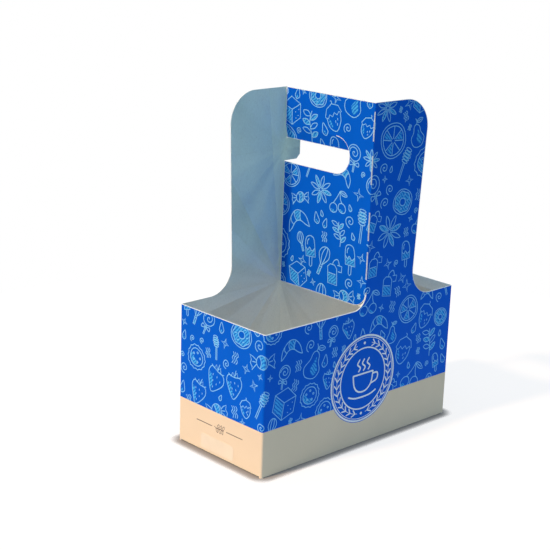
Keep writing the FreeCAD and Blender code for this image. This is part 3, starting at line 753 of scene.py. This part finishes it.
class Print:
    """What is printed on one half of the blank."""

    badge_s, badge_z, badge_radius = 1.0, 50.0, 33.0
    ring_lines = ((31.9, 1.3), (30.3, 0.5), (22.9, 1.0))
    wreath_ring = 26.6
    leaves = 13
    leaf_turn, leaf_spread = 0.115, 2.5
    stem_turns, leaf_turns = (0.16, 2.86), (0.24, 2.72)
    stem_half, leaf_half, berry_half, cup_half = 0.2, 0.48, 0.5, 0.62
    berry, cup_size = 0.6, 16.5
    rules = ((-24.0, -7.5), (7.5, 24.0))
    rule_level, rule_half = 22.0, 0.3
    sprig_size, sprig_half = 5.2, 0.22
    crumb_margin = 0.85
    bare_edge = 0.3
    bare_slot, bare_slot_end = 0.42, 0.5
    gap = 2
    margin_s, margin_q = 20, 30
    badge_overlap = 4

    # Motifs to scatter in turn: the drawings, their share of the motif size and the number of tries.
    tiers = ((LARGE, 1.0, 900), (LARGE, 0.76, 3500), (SMALL, 0.42, 3500), (SMALL, 0.25, 2500))
    size_spread = (0.85, 1.15)
    tilt = 0.45
    wobble = 0.04

    def __init__(self, half, settings, seed):
        self.half = half
        self.band = settings.band / MM
        self.stroke = settings.stroke / MM
        self.size = settings.motif / MM
        self.random = random.Random(seed)
        self.pattern, self.shades, self.badge, self.ornament = [], [], [], []
        self.scatter()
        self.draw_badge()
        self.draw_ornament()

    def put(self, motif, place, radius, angle, wide, wobble=0.0):
        """A motif moved to its place on the sheet: its strokes, each with half its width, and its areas."""
        cos, sin = math.cos(angle) * radius, math.sin(angle) * radius
        phase = self.random.uniform(0, 6)
        s, q = place

        def move(points):
            moved = []
            for x, y in points:
                x, y = x + wobble * math.sin(2.6 * y + phase), y + wobble * math.sin(2.9 * x + 1.7 * phase)
                moved.append((s + x * cos - y * sin, q + x * sin + y * cos))
            return moved

        strokes = [(move(points), closed, wide) for points, closed in motif.lines]
        return strokes, [[move(loop) for loop in area] for area in motif.areas]

    def scatter(self):
        """Fills the blue with motifs, the large ones first, none over another."""
        half, rng = self.half, self.random
        self.origin = np.array([half.start - self.margin_s, self.band - self.margin_q])
        columns = int(half.flat_x - half.start) + 2 * self.margin_s
        rows = int(half.top - self.band) + 2 * self.margin_q
        s, q = np.indices((columns, rows))
        s, q = s + self.origin[0] + 0.5, q + self.origin[1] + 0.5
        taken = (s < half.start + 1) | (s > half.flat_x - 1)
        taken |= np.hypot(s - self.badge_s, q - self.badge_z) < self.badge_radius - self.badge_overlap
        around = range(-self.gap, self.gap + 1)
        steps = [(i, j) for i in around for j in around if i * i + j * j <= self.gap**2 + 1]
        for makers, share, tries in self.tiers:
            radius = self.size * share
            count = rng.randrange(len(makers))
            for _ in range(tries):
                size = radius * rng.uniform(*self.size_spread)
                place = rng.uniform(half.start, half.flat_x), rng.uniform(self.band, half.top)
                if not self.on_board(*place, size):
                    continue
                turn = rng.uniform(-self.tilt, self.tilt)
                drawing = makers[count % len(makers)]()
                strokes, areas = self.put(drawing, place, size, turn, self.stroke / 2, self.wobble)
                cells = self.cells(strokes, place)
                if taken[cells[:, 0], cells[:, 1]].any():
                    continue
                for i, j in steps:
                    taken[cells[:, 0] + i, cells[:, 1] + j] = True
                count += 1
                self.pattern += strokes
                self.shades += areas

    def cells(self, strokes, middle):
        """Cells that a motif covers, its inside too."""
        points = np.array([p for line, _, _ in strokes for p in line])
        cover = [middle + (points - middle) * k for k in (1.0, 0.85, 0.7, 0.55, 0.4, 0.2)]
        return np.unique(np.floor(np.vstack(cover) - self.origin).astype(int), axis=0)

    def on_board(self, s, q, size):
        """Whether a motif of this size, put here, is mostly on the blue of the sheet."""
        half = self.half
        if q < self.band - size * 0.2:
            return False
        return q < half.rim + size * 0.4 or half.free - size * 0.3 < s < half.neck_top + size * 0.2

    def draw_badge(self):
        """Rings, a wreath of two branches with a berry at each end, and the plain cup."""
        s, q = self.badge_s, self.badge_z
        self.badge += [(oval(radius, radius, 72, s, q), True, wide / 2) for radius, wide in self.ring_lines]
        for side in (-1, 1):
            def at(turn, radius):
                return s + side * radius * math.sin(turn), q - radius * math.cos(turn)

            stem = [at(turn, self.wreath_ring) for turn in np.linspace(*self.stem_turns, 32)]
            self.badge.append((stem, False, self.stem_half))
            for turn in np.linspace(*self.leaf_turns, self.leaves):
                for spread in (-self.leaf_spread, self.leaf_spread):
                    leaf = [at(turn, self.wreath_ring), at(turn + self.leaf_turn, self.wreath_ring + spread)]
                    self.badge.append((leaf, False, self.leaf_half))
        for level in (q - self.wreath_ring, q + self.wreath_ring):
            self.badge.append((oval(self.berry, self.berry, 10, s, level), True, self.berry_half))
        self.badge += self.put(badge_cup(), (s, q), self.cup_size, 0.0, self.cup_half)[0]

    def draw_ornament(self):
        """Two plain rules and a small sprig on the end wall's band."""
        middle, level = self.half.end_middle, self.rule_level
        for first, last in self.rules:
            rule = [(middle + first, level), (middle + last, level)]
            self.ornament.append((rule, False, self.rule_half))
        sprig, _ = self.put(leaf_sprig(), (middle, level), self.sprig_size, -QUARTER_TURN, self.sprig_half)
        self.ornament += sprig

    def mark(self, plan):
        """Adds the print's outlines to the plan."""
        half = self.half
        plan.path([(half.start, self.band), (half.flat_x, self.band)])
        plan.path(oval(self.badge_radius, self.badge_radius, 72, self.badge_s, self.badge_z), True)
        edges = [(loop, True, self.bare_edge) for loop in half.loops()]
        areas = [loop for area in self.shades for loop in area]
        for stroke in self.pattern + self.badge + self.ornament:
            for side in stroke_sides(*stroke):
                plan.path(side, True)
        for loop in areas:
            plan.path(loop, True)
        for stroke in edges:
            for side in stroke_sides(*stroke):
                plan.path(side, True)
        plan.path([(half.free + self.crumb_margin, half.rim), (half.free + self.crumb_margin, half.top)])
        for left, right, low, high in self.bare_slots():
            for s in (left, right):
                plan.path([(s, low), (s, high)])
            for q in (low, high):
                plan.path([(left, q), (right, q)])

    def bare_slots(self):
        """Left, right, lower and upper bound of the unprinted margin round each slot."""
        middle, end = -self.half.bend / 2, self.bare_slot_end
        return [(middle - self.bare_slot, middle + self.bare_slot, low - end, high + end)
                for low, high in self.half.slots]

    def inks(self, centres):
        """Material index of each triangle, from its middle."""
        half = self.half
        s, q = centres[:, 0], centres[:, 1]
        disc = np.hypot(s - self.badge_s, q - self.badge_z) < self.badge_radius
        result = np.where((q > self.band) | disc, BLUE, CREAM)
        ground = (q > self.band) & ~disc
        order = np.argsort(s)
        sorted_s = s[order]

        def near(points, pad, where):
            """Indices of triangles beside these points."""
            points = np.array(points)
            low, high = points.min(axis=0) - pad, points.max(axis=0) + pad
            picked = order[np.searchsorted(sorted_s, low[0]):np.searchsorted(sorted_s, high[0])]
            return picked[(q[picked] > low[1]) & (q[picked] < high[1]) & where[picked]]

        for area in self.shades:
            picked = near([p for loop in area for p in loop], 0.1, ground)
            result[picked[inside(centres[picked], area)]] = TINT
        everywhere = np.ones(len(s), bool)
        for strokes, ink, where in ((self.pattern, LINE, ground), (self.badge, WHITE, everywhere),
                                    (self.ornament, BROWN, everywhere)):
            for line, closed, wide in strokes:
                picked = near(line, wide, where)
                result[picked[near_line(centres[picked], line, closed, wide)]] = ink

        high_up = np.flatnonzero(q > half.rim - 1)
        for loop in half.loops():
            result[high_up[near_line(centres[high_up], loop, True, self.bare_edge)]] = EDGE
        result[half.is_leaf(s, q) & (s < half.free + self.crumb_margin)] = EDGE
        for left, right, low, high in self.bare_slots():
            result[(s > left) & (s < right) & (q > low) & (q < high)] = EDGE
        return result


def linked(name, data):
    """A new object with this data, in the scene."""
    obj = bpy.data.objects.new(name, data)
    bpy.context.scene.collection.objects.link(obj)
    return obj


def face_normal(points, face):
    """Unit normal of a flat face."""
    a, b, c = (points[v] for v in face[:3])
    normal = np.cross(b - a, c - b)
    return tuple(normal / max(np.linalg.norm(normal), 1e-12))


def border_edges(faces):
    """Edges that only one face has, in that face's direction."""
    seen = {}
    for face in faces.tolist():
        for a, b in zip(face, face[1:] + face[:1]):
            key = (min(a, b), max(a, b))
            seen[key] = None if key in seen else (a, b)
    return [pair for pair in seen.values() if pair]


class Mesh:
    """Vertices, faces, materials and normals gathered before the object is made."""

    def __init__(self):
        self.points = []
        self.faces = []
        self.inks = []
        self.normals = []
        self.flat = []
        self.count = 0

    def add(self, points, faces, inks, normals, flat):
        """Adds faces; normals and flat are given for each corner of each face."""
        self.points.append(points)
        self.faces += [[int(v) + self.count for v in face] for face in faces]
        self.inks += list(inks)
        self.normals += list(normals)
        self.flat += list(flat)
        self.count += len(points)

    def add_flat(self, points, faces, inks, flat):
        """Adds faces that are each plain flat; flat is given for each point."""
        normals = [face_normal(points, face) for face in faces for _ in face]
        self.add(points, faces, inks, normals, [flat[v] for face in faces for v in face])

    def add_turned(self, other):
        """Adds another mesh, turned half round the upright axis."""
        turn = np.array([-1.0, -1.0, 1.0])
        self.points += [p * turn for p in other.points]
        self.faces += [[v + self.count for v in face] for face in other.faces]
        self.inks += other.inks
        self.normals += [tuple(np.array(n) * turn) for n in other.normals]
        self.flat += other.flat
        self.count += other.count

    def make(self, name, materials):
        """The object, with only the points that a face uses."""
        corners = np.concatenate([np.array(face) for face in self.faces])
        used, renumbered = np.unique(corners, return_inverse=True)
        ends = np.cumsum([len(face) for face in self.faces])
        faces = [part.tolist() for part in np.split(renumbered, ends[:-1])]
        mesh = bpy.data.meshes.new(name)
        mesh.from_pydata((np.vstack(self.points)[used] * MM).tolist(), [], faces)
        for material in materials:
            mesh.materials.append(material)
        mesh.polygons.foreach_set("material_index", self.inks)
        layer = mesh.uv_layers.new(name="blank")
        layer.data.foreach_set("uv", (np.array(self.flat) * MM).ravel())
        mesh.polygons.foreach_set("use_smooth", [True] * len(self.faces))
        mesh.update()
        mesh.normals_split_custom_set([tuple(n) for n in self.normals])
        return linked(name, mesh)


def board_mesh(half, printed):
    """Both sides and all cut edges of half the sheet, folded up."""
    loops, folds = half.loops(), half.fold_lines()
    plan = Plan()
    for loop in loops:
        plan.path(loop, True)
    for line in folds:
        plan.path(line)
    printed.mark(plan)
    corners, faces, _ = plan.triangles()
    faces = faces[inside(corners[faces].mean(axis=1), loops)]
    used, faces = np.unique(faces, return_inverse=True)
    corners, faces = corners[used], faces.reshape(-1, 3)
    border = border_edges(faces)
    mesh = Mesh()
    outer, _ = half.place(corners[:, 0], corners[:, 1])
    mesh.add(outer, faces, printed.inks(corners[faces].mean(axis=1)), corner_normals(half, corners, faces),
             corners[faces].reshape(-1, 2))

    # The inside has the same border and fewer points.
    rim = sorted({v for pair in border for v in pair})
    index = {v: i for i, v in enumerate(rim)}
    plan = Plan()
    plan.points = [Vector(corners[v]) for v in rim]
    plan.edges = [(index[a], index[b]) for a, b in border]
    for line in folds:
        plan.path(line)
    back_corners, back_faces, origins = plan.triangles()
    back_faces = back_faces[inside(back_corners[back_faces].mean(axis=1), loops)]
    own = {}
    for here, sources in enumerate(origins):
        for source in sources:
            if source < len(rim):
                own[rim[source]] = here
                back_corners[here] = corners[rim[source]]
    place, normal = half.place(back_corners[:, 0], back_corners[:, 1])
    inner = place - normal * half.board
    normals = -np.array(corner_normals(half, back_corners, back_faces)).reshape(-1, 3, 3)
    start = mesh.count
    mesh.add(inner, back_faces[:, ::-1], [GREY] * len(back_faces), normals[:, ::-1].reshape(-1, 3),
             back_corners[back_faces[:, ::-1]].reshape(-1, 2))

    def on_seam(v):
        return min(abs(corners[v][0] - half.start), abs(corners[v][0] - half.flat_x)) < 1e-3

    both = np.vstack([outer, inner])
    for a, b in border:
        along_seam = on_seam(a) and on_seam(b) and abs(corners[a][0] - corners[b][0]) < 1e-3
        if along_seam or a not in own or b not in own:
            continue
        side = [b, a, start + own[a], start + own[b]]
        mesh.faces.append(side)
        mesh.inks.append(EDGE)
        mesh.normals += [face_normal(both, side)] * 4
        mesh.flat += [corners[b], corners[a], corners[a], corners[b]]
    return mesh


def corner_normals(half, corners, faces):
    """A normal for each corner of each face, taken a little inside the face."""
    places = corners[faces]
    centres = places.mean(axis=1)[:, None, :]
    shifted = (places * 0.98 + centres * 0.02).reshape(-1, 2)
    _, normals = half.place(shifted[:, 0], shifted[:, 1])
    return normals


def seam_flap(half, mesh):
    """The glued seam flap, inside the left end wall beside the back wall."""
    step, reach, taper = 0.8, 16.0, 6.0
    root, tip = half.inner - step, half.inner - reach
    low, high = 4.2, half.rim - 3.0
    outer_x = -half.length + half.board
    shape = [(root, low), (root, high), (tip, high - taper), (tip, low + taper)]
    points = np.array([(x, y, z) for x in (outer_x + 0.02, outer_x + half.board) for y, z in shape])
    faces = [[7, 6, 5, 4], [0, 1, 2, 3]] + [[4 + k, 4 + (k + 1) % 4, (k + 1) % 4, k] for k in range(4)]
    mesh.add_flat(points, faces, [GREY, GREY] + [EDGE] * 4, points[:, 1:])


# Finishes

VARNISH_ROUGHNESS = 0.42
VARNISH_SPECULAR = 0.04


class Finish:
    """A material with its nodes, made with short calls."""

    def __init__(self, name, roughness, specular=0.5):
        self.material = bpy.data.materials.new(name)
        self.material.use_nodes = True
        self.nodes = self.material.node_tree.nodes
        self.links = self.material.node_tree.links
        self.shader = self.nodes["Principled BSDF"]
        self.shader.inputs["Roughness"].default_value = roughness
        self.shader.inputs["Specular IOR Level"].default_value = specular
        self.where = self.nodes.new("ShaderNodeTexCoord").outputs["Object"]

    def node(self, kind, **values):
        """A new node, with these values for its sockets or settings."""
        node = self.nodes.new(kind)
        for name, value in values.items():
            if name in node.inputs:
                node.inputs[name].default_value = value
            else:
                setattr(node, name, value)
        return node

    def feed(self, socket, value):
        """Links an output to the socket, or sets the socket's own value."""
        if hasattr(value, "is_output"):
            self.links.new(value, socket)
        else:
            socket.default_value = value

    def calculate(self, operation, first, second=0.0):
        """The output of a sum, of numbers or other outputs."""
        node = self.node("ShaderNodeMath", operation=operation)
        self.feed(node.inputs[0], first)
        self.feed(node.inputs[1], second)
        return node.outputs["Value"]

    def blank(self):
        """The place on the flat blank, in metres: as a vector, along the walls and up the sheet."""
        flat = self.node("ShaderNodeUVMap", uv_map="blank").outputs["UV"]
        apart = self.node("ShaderNodeSeparateXYZ")
        self.links.new(flat, apart.inputs["Vector"])
        return flat, apart.outputs["X"], apart.outputs["Y"]

    def noise(self, scale, detail=3.0, roughness=0.55, stretch=None):
        """Soft noise over the object, finer with a larger scale."""
        where = self.where
        if stretch:
            mapping = self.node("ShaderNodeMapping")
            mapping.inputs["Scale"].default_value = stretch
            self.links.new(where, mapping.inputs["Vector"])
            where = mapping.outputs["Vector"]
        noise = self.node("ShaderNodeTexNoise", Scale=scale, Detail=detail, Roughness=roughness)
        self.links.new(where, noise.inputs["Vector"])
        return noise.outputs["Fac"]

    def ramp(self, fac, stops):
        """A colour ramp through (position, colour) stops."""
        ramp = self.node("ShaderNodeValToRGB")
        elements = ramp.color_ramp.elements
        while len(elements) < len(stops):
            elements.new(0.5)
        for element, (position, shade) in zip(elements, stops):
            element.position = position
            element.color = (*shade, 1.0)
        self.links.new(fac, ramp.inputs["Fac"])
        return ramp.outputs["Color"]

    def vary(self, base, fac, amount):
        """The base colour, a little darker and lighter over the surface."""
        low = tuple(c * (1 - amount) for c in base)
        high = tuple(min(1.0, c * (1 + amount)) for c in base)
        return self.ramp(fac, ((0.3, low), (0.7, high)))

    def mix(self, one, two, fac, blend="MIX"):
        """Two colours or outputs, mixed."""
        mix = self.node("ShaderNodeMix", data_type="RGBA", blend_type=blend)
        sockets = {s.identifier: s for s in mix.inputs}
        for key, value in (("A_Color", one), ("B_Color", two), ("Factor_Float", fac)):
            self.feed(sockets[key], (*value, 1.0) if isinstance(value, tuple) else value)
        return [s for s in mix.outputs if s.identifier == "Result_Color"][0]

    def colour(self, socket):
        """Makes an output the base colour."""
        self.links.new(socket, self.shader.inputs["Base Color"])

    def rough(self, fac, low, high):
        """Lets the roughness vary between low and high."""
        span = self.node("ShaderNodeMapRange")
        span.inputs["To Min"].default_value = low
        span.inputs["To Max"].default_value = high
        self.links.new(fac, span.inputs["Value"])
        self.links.new(span.outputs["Result"], self.shader.inputs["Roughness"])

    def bump(self, *heights):
        """Bumps laid over each other: (height, distance in metres, strength)."""
        previous = None
        for height, distance, strength in heights:
            bump = self.node("ShaderNodeBump", Strength=strength, Distance=distance)
            self.links.new(height, bump.inputs["Height"])
            if previous:
                self.links.new(previous, bump.inputs["Normal"])
            previous = bump.outputs["Normal"]
        self.links.new(previous, self.shader.inputs["Normal"])


def coated(name, base, amount=0.05):
    """Printed, varnished coated board, whose colour varies by this amount."""
    finish = Finish(name, VARNISH_ROUGHNESS, VARNISH_SPECULAR)
    cloudy = finish.noise(38.0, 2.0)
    grain = finish.noise(2600.0, 2.0)
    finish.colour(finish.mix(finish.vary(base, cloudy, amount), finish.vary(base, grain, amount), 0.5))
    finish.rough(finish.noise(160.0, 3.0), VARNISH_ROUGHNESS - 0.05, VARNISH_ROUGHNESS + 0.08)
    finish.bump((finish.noise(26.0, 1.5), 0.0012, 0.25), (grain, 0.00002, 0.25))
    return finish.material


def hatched(name, ground, ink):
    """Areas of a motif that are filled with fine slanting pen strokes."""
    finish = Finish(name, 0.45, VARNISH_SPECULAR)
    wave = finish.node("ShaderNodeTexWave", Scale=230.0, Distortion=3.5, Detail=2.0)
    wave.bands_direction = "DIAGONAL"
    wave.inputs["Detail Scale"].default_value = 1.5
    finish.links.new(finish.where, wave.inputs["Vector"])
    strokes = finish.ramp(wave.outputs["Fac"], ((0.25, (0.15, 0.15, 0.15)), (0.6, (1.0, 1.0, 1.0))))
    level = finish.node("ShaderNodeSeparateColor")
    finish.links.new(strokes, level.inputs["Color"])
    finish.colour(finish.mix(ground, ink, level.outputs["Red"]))
    finish.bump((finish.noise(2600.0, 2.0), 0.00002, 0.25))
    return finish.material


def recycled(name, base, neck_painted_bounce, fold_height):
    """Grey recycled inside of the board, with fibres and specks, and painted light: the necks' inside is
    tinted teal for blue light bounced off the web, the lower inside warmer.
    """
    finish = Finish(name, 0.85, 0.3)
    cloudy = finish.noise(55.0, 4.0)
    fibre = finish.noise(900.0, 5.0, 0.7, stretch=(1.0, 1.0, 0.6))
    _, _, up = finish.blank()
    # Painted bounce light: above the wall's rim the inside fades from the warmer grey to the teal neck grey,
    # which stands in for blue light bounced off the printed web.
    painted_bounce_share = finish.node("ShaderNodeMapRange", interpolation_type="SMOOTHSTEP")
    for socket, value in (("From Min", fold_height - 0.02), ("From Max", fold_height + 0.045), ("Value", up)):
        finish.feed(painted_bounce_share.inputs[socket], value)
    ground = finish.mix(base, neck_painted_bounce, painted_bounce_share.outputs["Result"])
    soft = finish.vary((1.0, 1.0, 1.0), cloudy, 0.05)
    fine = finish.vary((1.0, 1.0, 1.0), fibre, 0.10)
    tone = finish.mix(finish.mix(ground, soft, 1.0, "MULTIPLY"), fine, 1.0, "MULTIPLY")
    specks = finish.node("ShaderNodeTexVoronoi", Scale=420.0, Randomness=1.0)
    finish.links.new(finish.where, specks.inputs["Vector"])
    dark = finish.ramp(specks.outputs["Distance"], ((0.06, (0.55, 0.53, 0.5)), (0.13, (1.0, 1.0, 1.0))))
    finish.colour(finish.mix(tone, dark, 0.5, "MULTIPLY"))
    grip_height = fold_height + 0.1
    finish.bump(
        (creases(finish, fold_height, True), 1.0, 1.0), (creases(finish, grip_height, False), 1.0, 1.0),
        (finish.noise(22.0, 1.5), 0.0016, 0.3), (fibre, 0.00006, 0.5),
    )
    return finish.material


def creases(finish, level, sharp):
    """Height of the facets, or soft waves, that fan out over bent board from this level of the web's fold."""
    facet, waves, steepness = 0.36, 5.0, 0.14 if sharp else 0.10
    flat, along, up = finish.blank()
    rise = finish.calculate("SUBTRACT", up, level)
    angle = finish.calculate("ARCTAN2", rise, finish.calculate("MULTIPLY", along, -1.0))
    drift = finish.node("ShaderNodeTexNoise", noise_dimensions="1D", Scale=1.7, Detail=1.0)
    finish.links.new(angle, drift.inputs["W"])
    turned = finish.calculate("ADD", angle, drift.outputs["Fac"])
    if sharp:
        shape = finish.calculate("PINGPONG", turned, facet)
    else:
        shape = finish.calculate("SINE", finish.calculate("MULTIPLY", turned, waves))
        shape = finish.calculate("DIVIDE", shape, waves)
    away = finish.node("ShaderNodeVectorMath", operation="DISTANCE")
    away.inputs[1].default_value = (0, level, 0)
    finish.links.new(flat, away.inputs[0])
    return finish.calculate("MULTIPLY", finish.calculate("MULTIPLY", shape, away.outputs["Value"]), steepness)


def cut_edge(name):
    """Pale cut edges of the board, with fine fibres, seen end on."""
    finish = Finish(name, 0.8, 0.3)
    fibre = finish.noise(1800.0, 4.0, 0.7)
    finish.colour(finish.vary((0.80, 0.88, 0.97), fibre, 0.06))
    finish.bump((fibre, 0.00008, 0.6))
    return finish.material


def label_film(name):
    """Thin satin film over the band."""
    finish = Finish(name, 0.22)
    finish.colour(finish.vary((0.84, 0.71, 0.555), finish.noise(70.0, 2.0), 0.04))
    finish.rough(finish.noise(240.0, 3.0), 0.16, 0.3)
    finish.bump((finish.noise(90.0, 2.0), 0.0004, 0.2))
    return finish.material


def studio_rays(nodes, links):
    """1 for the rays that find a white studio: the camera's, and those that gloss or glass sends on."""
    path = nodes.new("ShaderNodeLightPath")
    shown = path.outputs["Is Camera Ray"]
    for kind in ("Is Glossy Ray", "Is Transmission Ray"):
        either = nodes.new("ShaderNodeMath")
        either.operation = "MAXIMUM"
        links.new(shown, either.inputs[0])
        links.new(path.outputs[kind], either.inputs[1])
        shown = either.outputs["Value"]
    return shown


def pale_floor(name):
    """Pale floor that looks nearly white, with the object's soft shadow on it and a painted dark contact
    shade round the object's foot.
    """
    glow_strength, painted_shade_reach, painted_shade_depth = 0.74, 0.008, 8.0
    finish = Finish(name, 0.95, 0.0)
    seen = studio_rays(finish.nodes, finish.links)
    tone = finish.vary((0.36, 0.52, 0.68), finish.noise(9.0, 3.0), 0.01)
    finish.colour(finish.mix(tone, (0.27, 0.26, 0.27), seen))
    # Painted shade: ambient occlusion dims the floor's glow, which draws a dark contact line under the
    # carrier's foot.
    contact = finish.node("ShaderNodeAmbientOcclusion", Distance=painted_shade_reach)
    open_share = finish.calculate("POWER", contact.outputs["AO"], painted_shade_depth)
    light = finish.calculate("MULTIPLY", open_share, glow_strength)
    glow = finish.node("ShaderNodeEmission")
    finish.feed(glow.inputs["Strength"], finish.calculate("MULTIPLY", seen, light))
    both = finish.node("ShaderNodeAddShader")
    finish.links.new(finish.shader.outputs["BSDF"], both.inputs[0])
    finish.links.new(glow.outputs["Emission"], both.inputs[1])
    finish.links.new(both.outputs["Shader"], finish.nodes["Material Output"].inputs["Surface"])
    return finish.material


class CARRIER_OT_sheet(bpy.types.Operator):
    """Folds up the printed sheet"""

    bl_idname = "carrier.sheet"
    bl_label = "Folded Sheet"
    bl_options = {"REGISTER", "UNDO"}

    def execute(self, context):
        sizes = context.scene.carrier_sheet
        inks = context.scene.carrier_print
        front, back = HalfBlank(sizes, back=False), HalfBlank(sizes, back=True)
        mesh = board_mesh(front, Print(front, inks, inks.seed))
        mesh.add_turned(board_mesh(back, Print(back, inks, inks.seed + 1)))
        seam_flap(front, mesh)
        materials = [
            coated("print_blue", tuple(inks.blue)),
            coated("print_line", tuple(inks.line), 0.10),
            hatched("print_hatch", tuple(inks.blue), tuple(inks.tint)),
            coated("print_cream", tuple(inks.cream), 0.03),
            recycled("board_grey", tuple(inks.grey), tuple(inks.neck_painted_bounce), sizes.wall),
            cut_edge("board_cut_edge"),
            coated("print_white", (0.88, 0.90, 0.95), 0.04),
            coated("print_taupe", (0.16, 0.12, 0.11), 0.06),
        ]
        sheet = mesh.make("carrier_sheet", materials)
        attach(sheet, "root")
        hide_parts("folded_carrier")
        return {"FINISHED"}


class CARRIER_OT_sticker(bpy.types.Operator):
    """Sticks the bare label on the end wall's band"""

    bl_idname = "carrier.sticker"
    bl_label = "Sticker"
    bl_options = {"REGISTER", "UNDO"}

    corner = 2.0
    film = 0.15
    seat = 0.01
    step = 0.4
    strips = 8

    def execute(self, context):
        half = HalfBlank(context.scene.carrier_sheet, back=False)
        low, high = STICKER_LOW / MM, STICKER_HIGH / MM
        first, last = half.end_middle - high[1], half.end_middle - low[1]
        r = self.corner
        left, right, foot, top = first + r, last - r, low[2] + r, high[2] - r
        outline = []
        for angle, middle in ((0, (right, top)), (90, (left, top)), (180, (left, foot)),
                              (270, (right, foot))):
            outline += arc(*middle, r, angle, angle + 90, self.step)
        plan = Plan()
        plan.path(outline, True)
        for s in np.linspace(first, last, self.strips + 1)[1:-1]:
            plan.path([(s, low[2]), (s, high[2])])
        corners, faces, _ = plan.triangles()
        faces = faces[inside(corners[faces].mean(axis=1), [outline])]
        place, normal = half.place(corners[:, 0], corners[:, 1])
        points = np.vstack([place + normal * self.film, place + normal * self.seat])
        count = len(corners)
        both = faces.tolist() + (faces[:, ::-1] + count).tolist()
        both += [[b, a, a + count, b + count] for a, b in border_edges(faces)]
        mesh = Mesh()
        mesh.add_flat(points, both, [0] * len(both), np.vstack([corners, corners]))
        sticker = mesh.make("bare_sticker", [label_film("label_film")])
        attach(sticker, "root")
        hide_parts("sticker")
        return {"FINISHED"}


class CARRIER_OT_stage(bpy.types.Operator):
    """Sets the floor, the lights and the camera"""

    bl_idname = "carrier.stage"
    bl_label = "Stage"
    bl_options = {"REGISTER", "UNDO"}

    camera_place = (-0.6659, -0.6473, 0.3855)
    camera_forward = (0.6637, 0.6938, -0.2797)
    camera_roll = math.radians(1.93)
    camera_lens = 87.96
    camera_sensor = 36.0
    key_direction = (-0.74, 0.12, 0.65)
    low_colour = (0.0463, 0.0926, 0.13)
    side_heights = (0.03, 0.3)
    key_spread = math.radians(5)
    floor_reach = 0.42
    floor_points = 96

    def execute(self, context):
        settings = context.scene.carrier_stage
        self.add_camera(context)
        self.add_lamp(settings)
        self.add_sky(context, settings)
        self.add_floor()
        context.scene.view_settings.view_transform = "Standard"
        return {"FINISHED"}

    def add_camera(self, context):
        """The camera, placed, aimed and a little rolled as in the photograph."""
        forward = Vector(self.camera_forward).normalized()
        level = forward.cross(Vector((0, 0, 1))).normalized()
        above = level.cross(forward)
        right = level * math.cos(self.camera_roll) + above * math.sin(self.camera_roll)
        up = right.cross(forward)
        data = bpy.data.cameras.new("camera")
        data.lens = self.camera_lens
        data.sensor_width = self.camera_sensor
        camera = linked("camera", data)
        turn = Matrix((right, up, -forward)).transposed().to_4x4()
        camera.matrix_world = Matrix.Translation(Vector(self.camera_place)) @ turn
        context.scene.camera = camera

    def add_lamp(self, settings):
        """The key light: a far lamp that looks as wide as its spread from the object."""
        data = bpy.data.lights.new("key_light", "SUN")
        data.energy = settings.key
        data.color = settings.key_colour
        data.angle = self.key_spread
        lamp = linked("key_light", data)
        lamp.rotation_euler = Vector(self.key_direction).to_track_quat("Z", "Y").to_euler()

    def add_sky(self, context, settings):
        """Soft fill, brightest from above, and white where the camera, gloss or glass sees past the floor."""
        world = bpy.data.worlds.new("studio")
        world.use_nodes = True
        context.scene.world = world
        nodes, links = world.node_tree.nodes, world.node_tree.links
        fill = nodes["Background"]
        around = nodes.new("ShaderNodeTexCoord")
        apart = nodes.new("ShaderNodeSeparateXYZ")
        links.new(around.outputs["Generated"], apart.inputs["Vector"])
        tones = nodes.new("ShaderNodeValToRGB")
        links.new(apart.outputs["Z"], tones.inputs["Fac"])
        tones.color_ramp.elements[0].color = (*self.low_colour, 1.0)
        tones.color_ramp.elements[1].color = (*settings.top_colour, 1.0)
        for height in self.side_heights:
            tones.color_ramp.elements.new(height).color = (*settings.side_colour, 1.0)
        links.new(tones.outputs["Color"], fill.inputs["Color"])
        fill.inputs["Strength"].default_value = settings.sky
        white = nodes.new("ShaderNodeBackground")
        white.inputs["Color"].default_value = (1.0, 1.0, 1.0, 1.0)
        mix = nodes.new("ShaderNodeMixShader")
        links.new(studio_rays(nodes, links), mix.inputs["Fac"])
        links.new(fill.outputs["Background"], mix.inputs[1])
        links.new(white.outputs["Background"], mix.inputs[2])
        links.new(mix.outputs["Shader"], nodes["World Output"].inputs["Surface"])

    def add_floor(self):
        """The round floor, which isn't part of the carrier."""
        mesh = bpy.data.meshes.new("floor")
        rim = [(x, y, 0.0) for x, y in oval(self.floor_reach, self.floor_reach, self.floor_points)]
        mesh.from_pydata(rim, [], [tuple(range(len(rim)))])
        mesh.materials.append(pale_floor("pale_floor"))
        floor = linked("floor", mesh)


class CARRIER_PT_panel(bpy.types.Panel):
    """Lists what the carrier is made of"""

    bl_label = "Cup Carrier"
    bl_idname = "CARRIER_PT_panel"
    bl_space_type = "VIEW_3D"
    bl_region_type = "UI"
    bl_category = "Carrier"

    def draw(self, context):
        for operator in (CARRIER_OT_sheet, CARRIER_OT_sticker, CARRIER_OT_stage):
            self.layout.operator(operator.bl_idname)
        for group in (context.scene.carrier_sheet, context.scene.carrier_print, context.scene.carrier_stage):
            box = self.layout.box()
            for name in group.__annotations__:
                box.prop(group, name)


CLASSES = (CarrierSheetSettings, CarrierPrintSettings, CarrierStageSettings, CARRIER_OT_sheet,
           CARRIER_OT_sticker, CARRIER_OT_stage, CARRIER_PT_panel)


def register():
    for cls in CLASSES:
        bpy.utils.register_class(cls)
    bpy.types.Scene.carrier_sheet = PointerProperty(type=CarrierSheetSettings)
    bpy.types.Scene.carrier_print = PointerProperty(type=CarrierPrintSettings)
    bpy.types.Scene.carrier_stage = PointerProperty(type=CarrierStageSettings)


def unregister():
    del bpy.types.Scene.carrier_stage
    del bpy.types.Scene.carrier_print
    del bpy.types.Scene.carrier_sheet
    for cls in reversed(CLASSES):
        bpy.utils.unregister_class(cls)


def main():
    register()
    bpy.ops.carrier.sheet()
    bpy.ops.carrier.sticker()
    bpy.ops.carrier.stage()


if __name__ == "__main__":
    main()
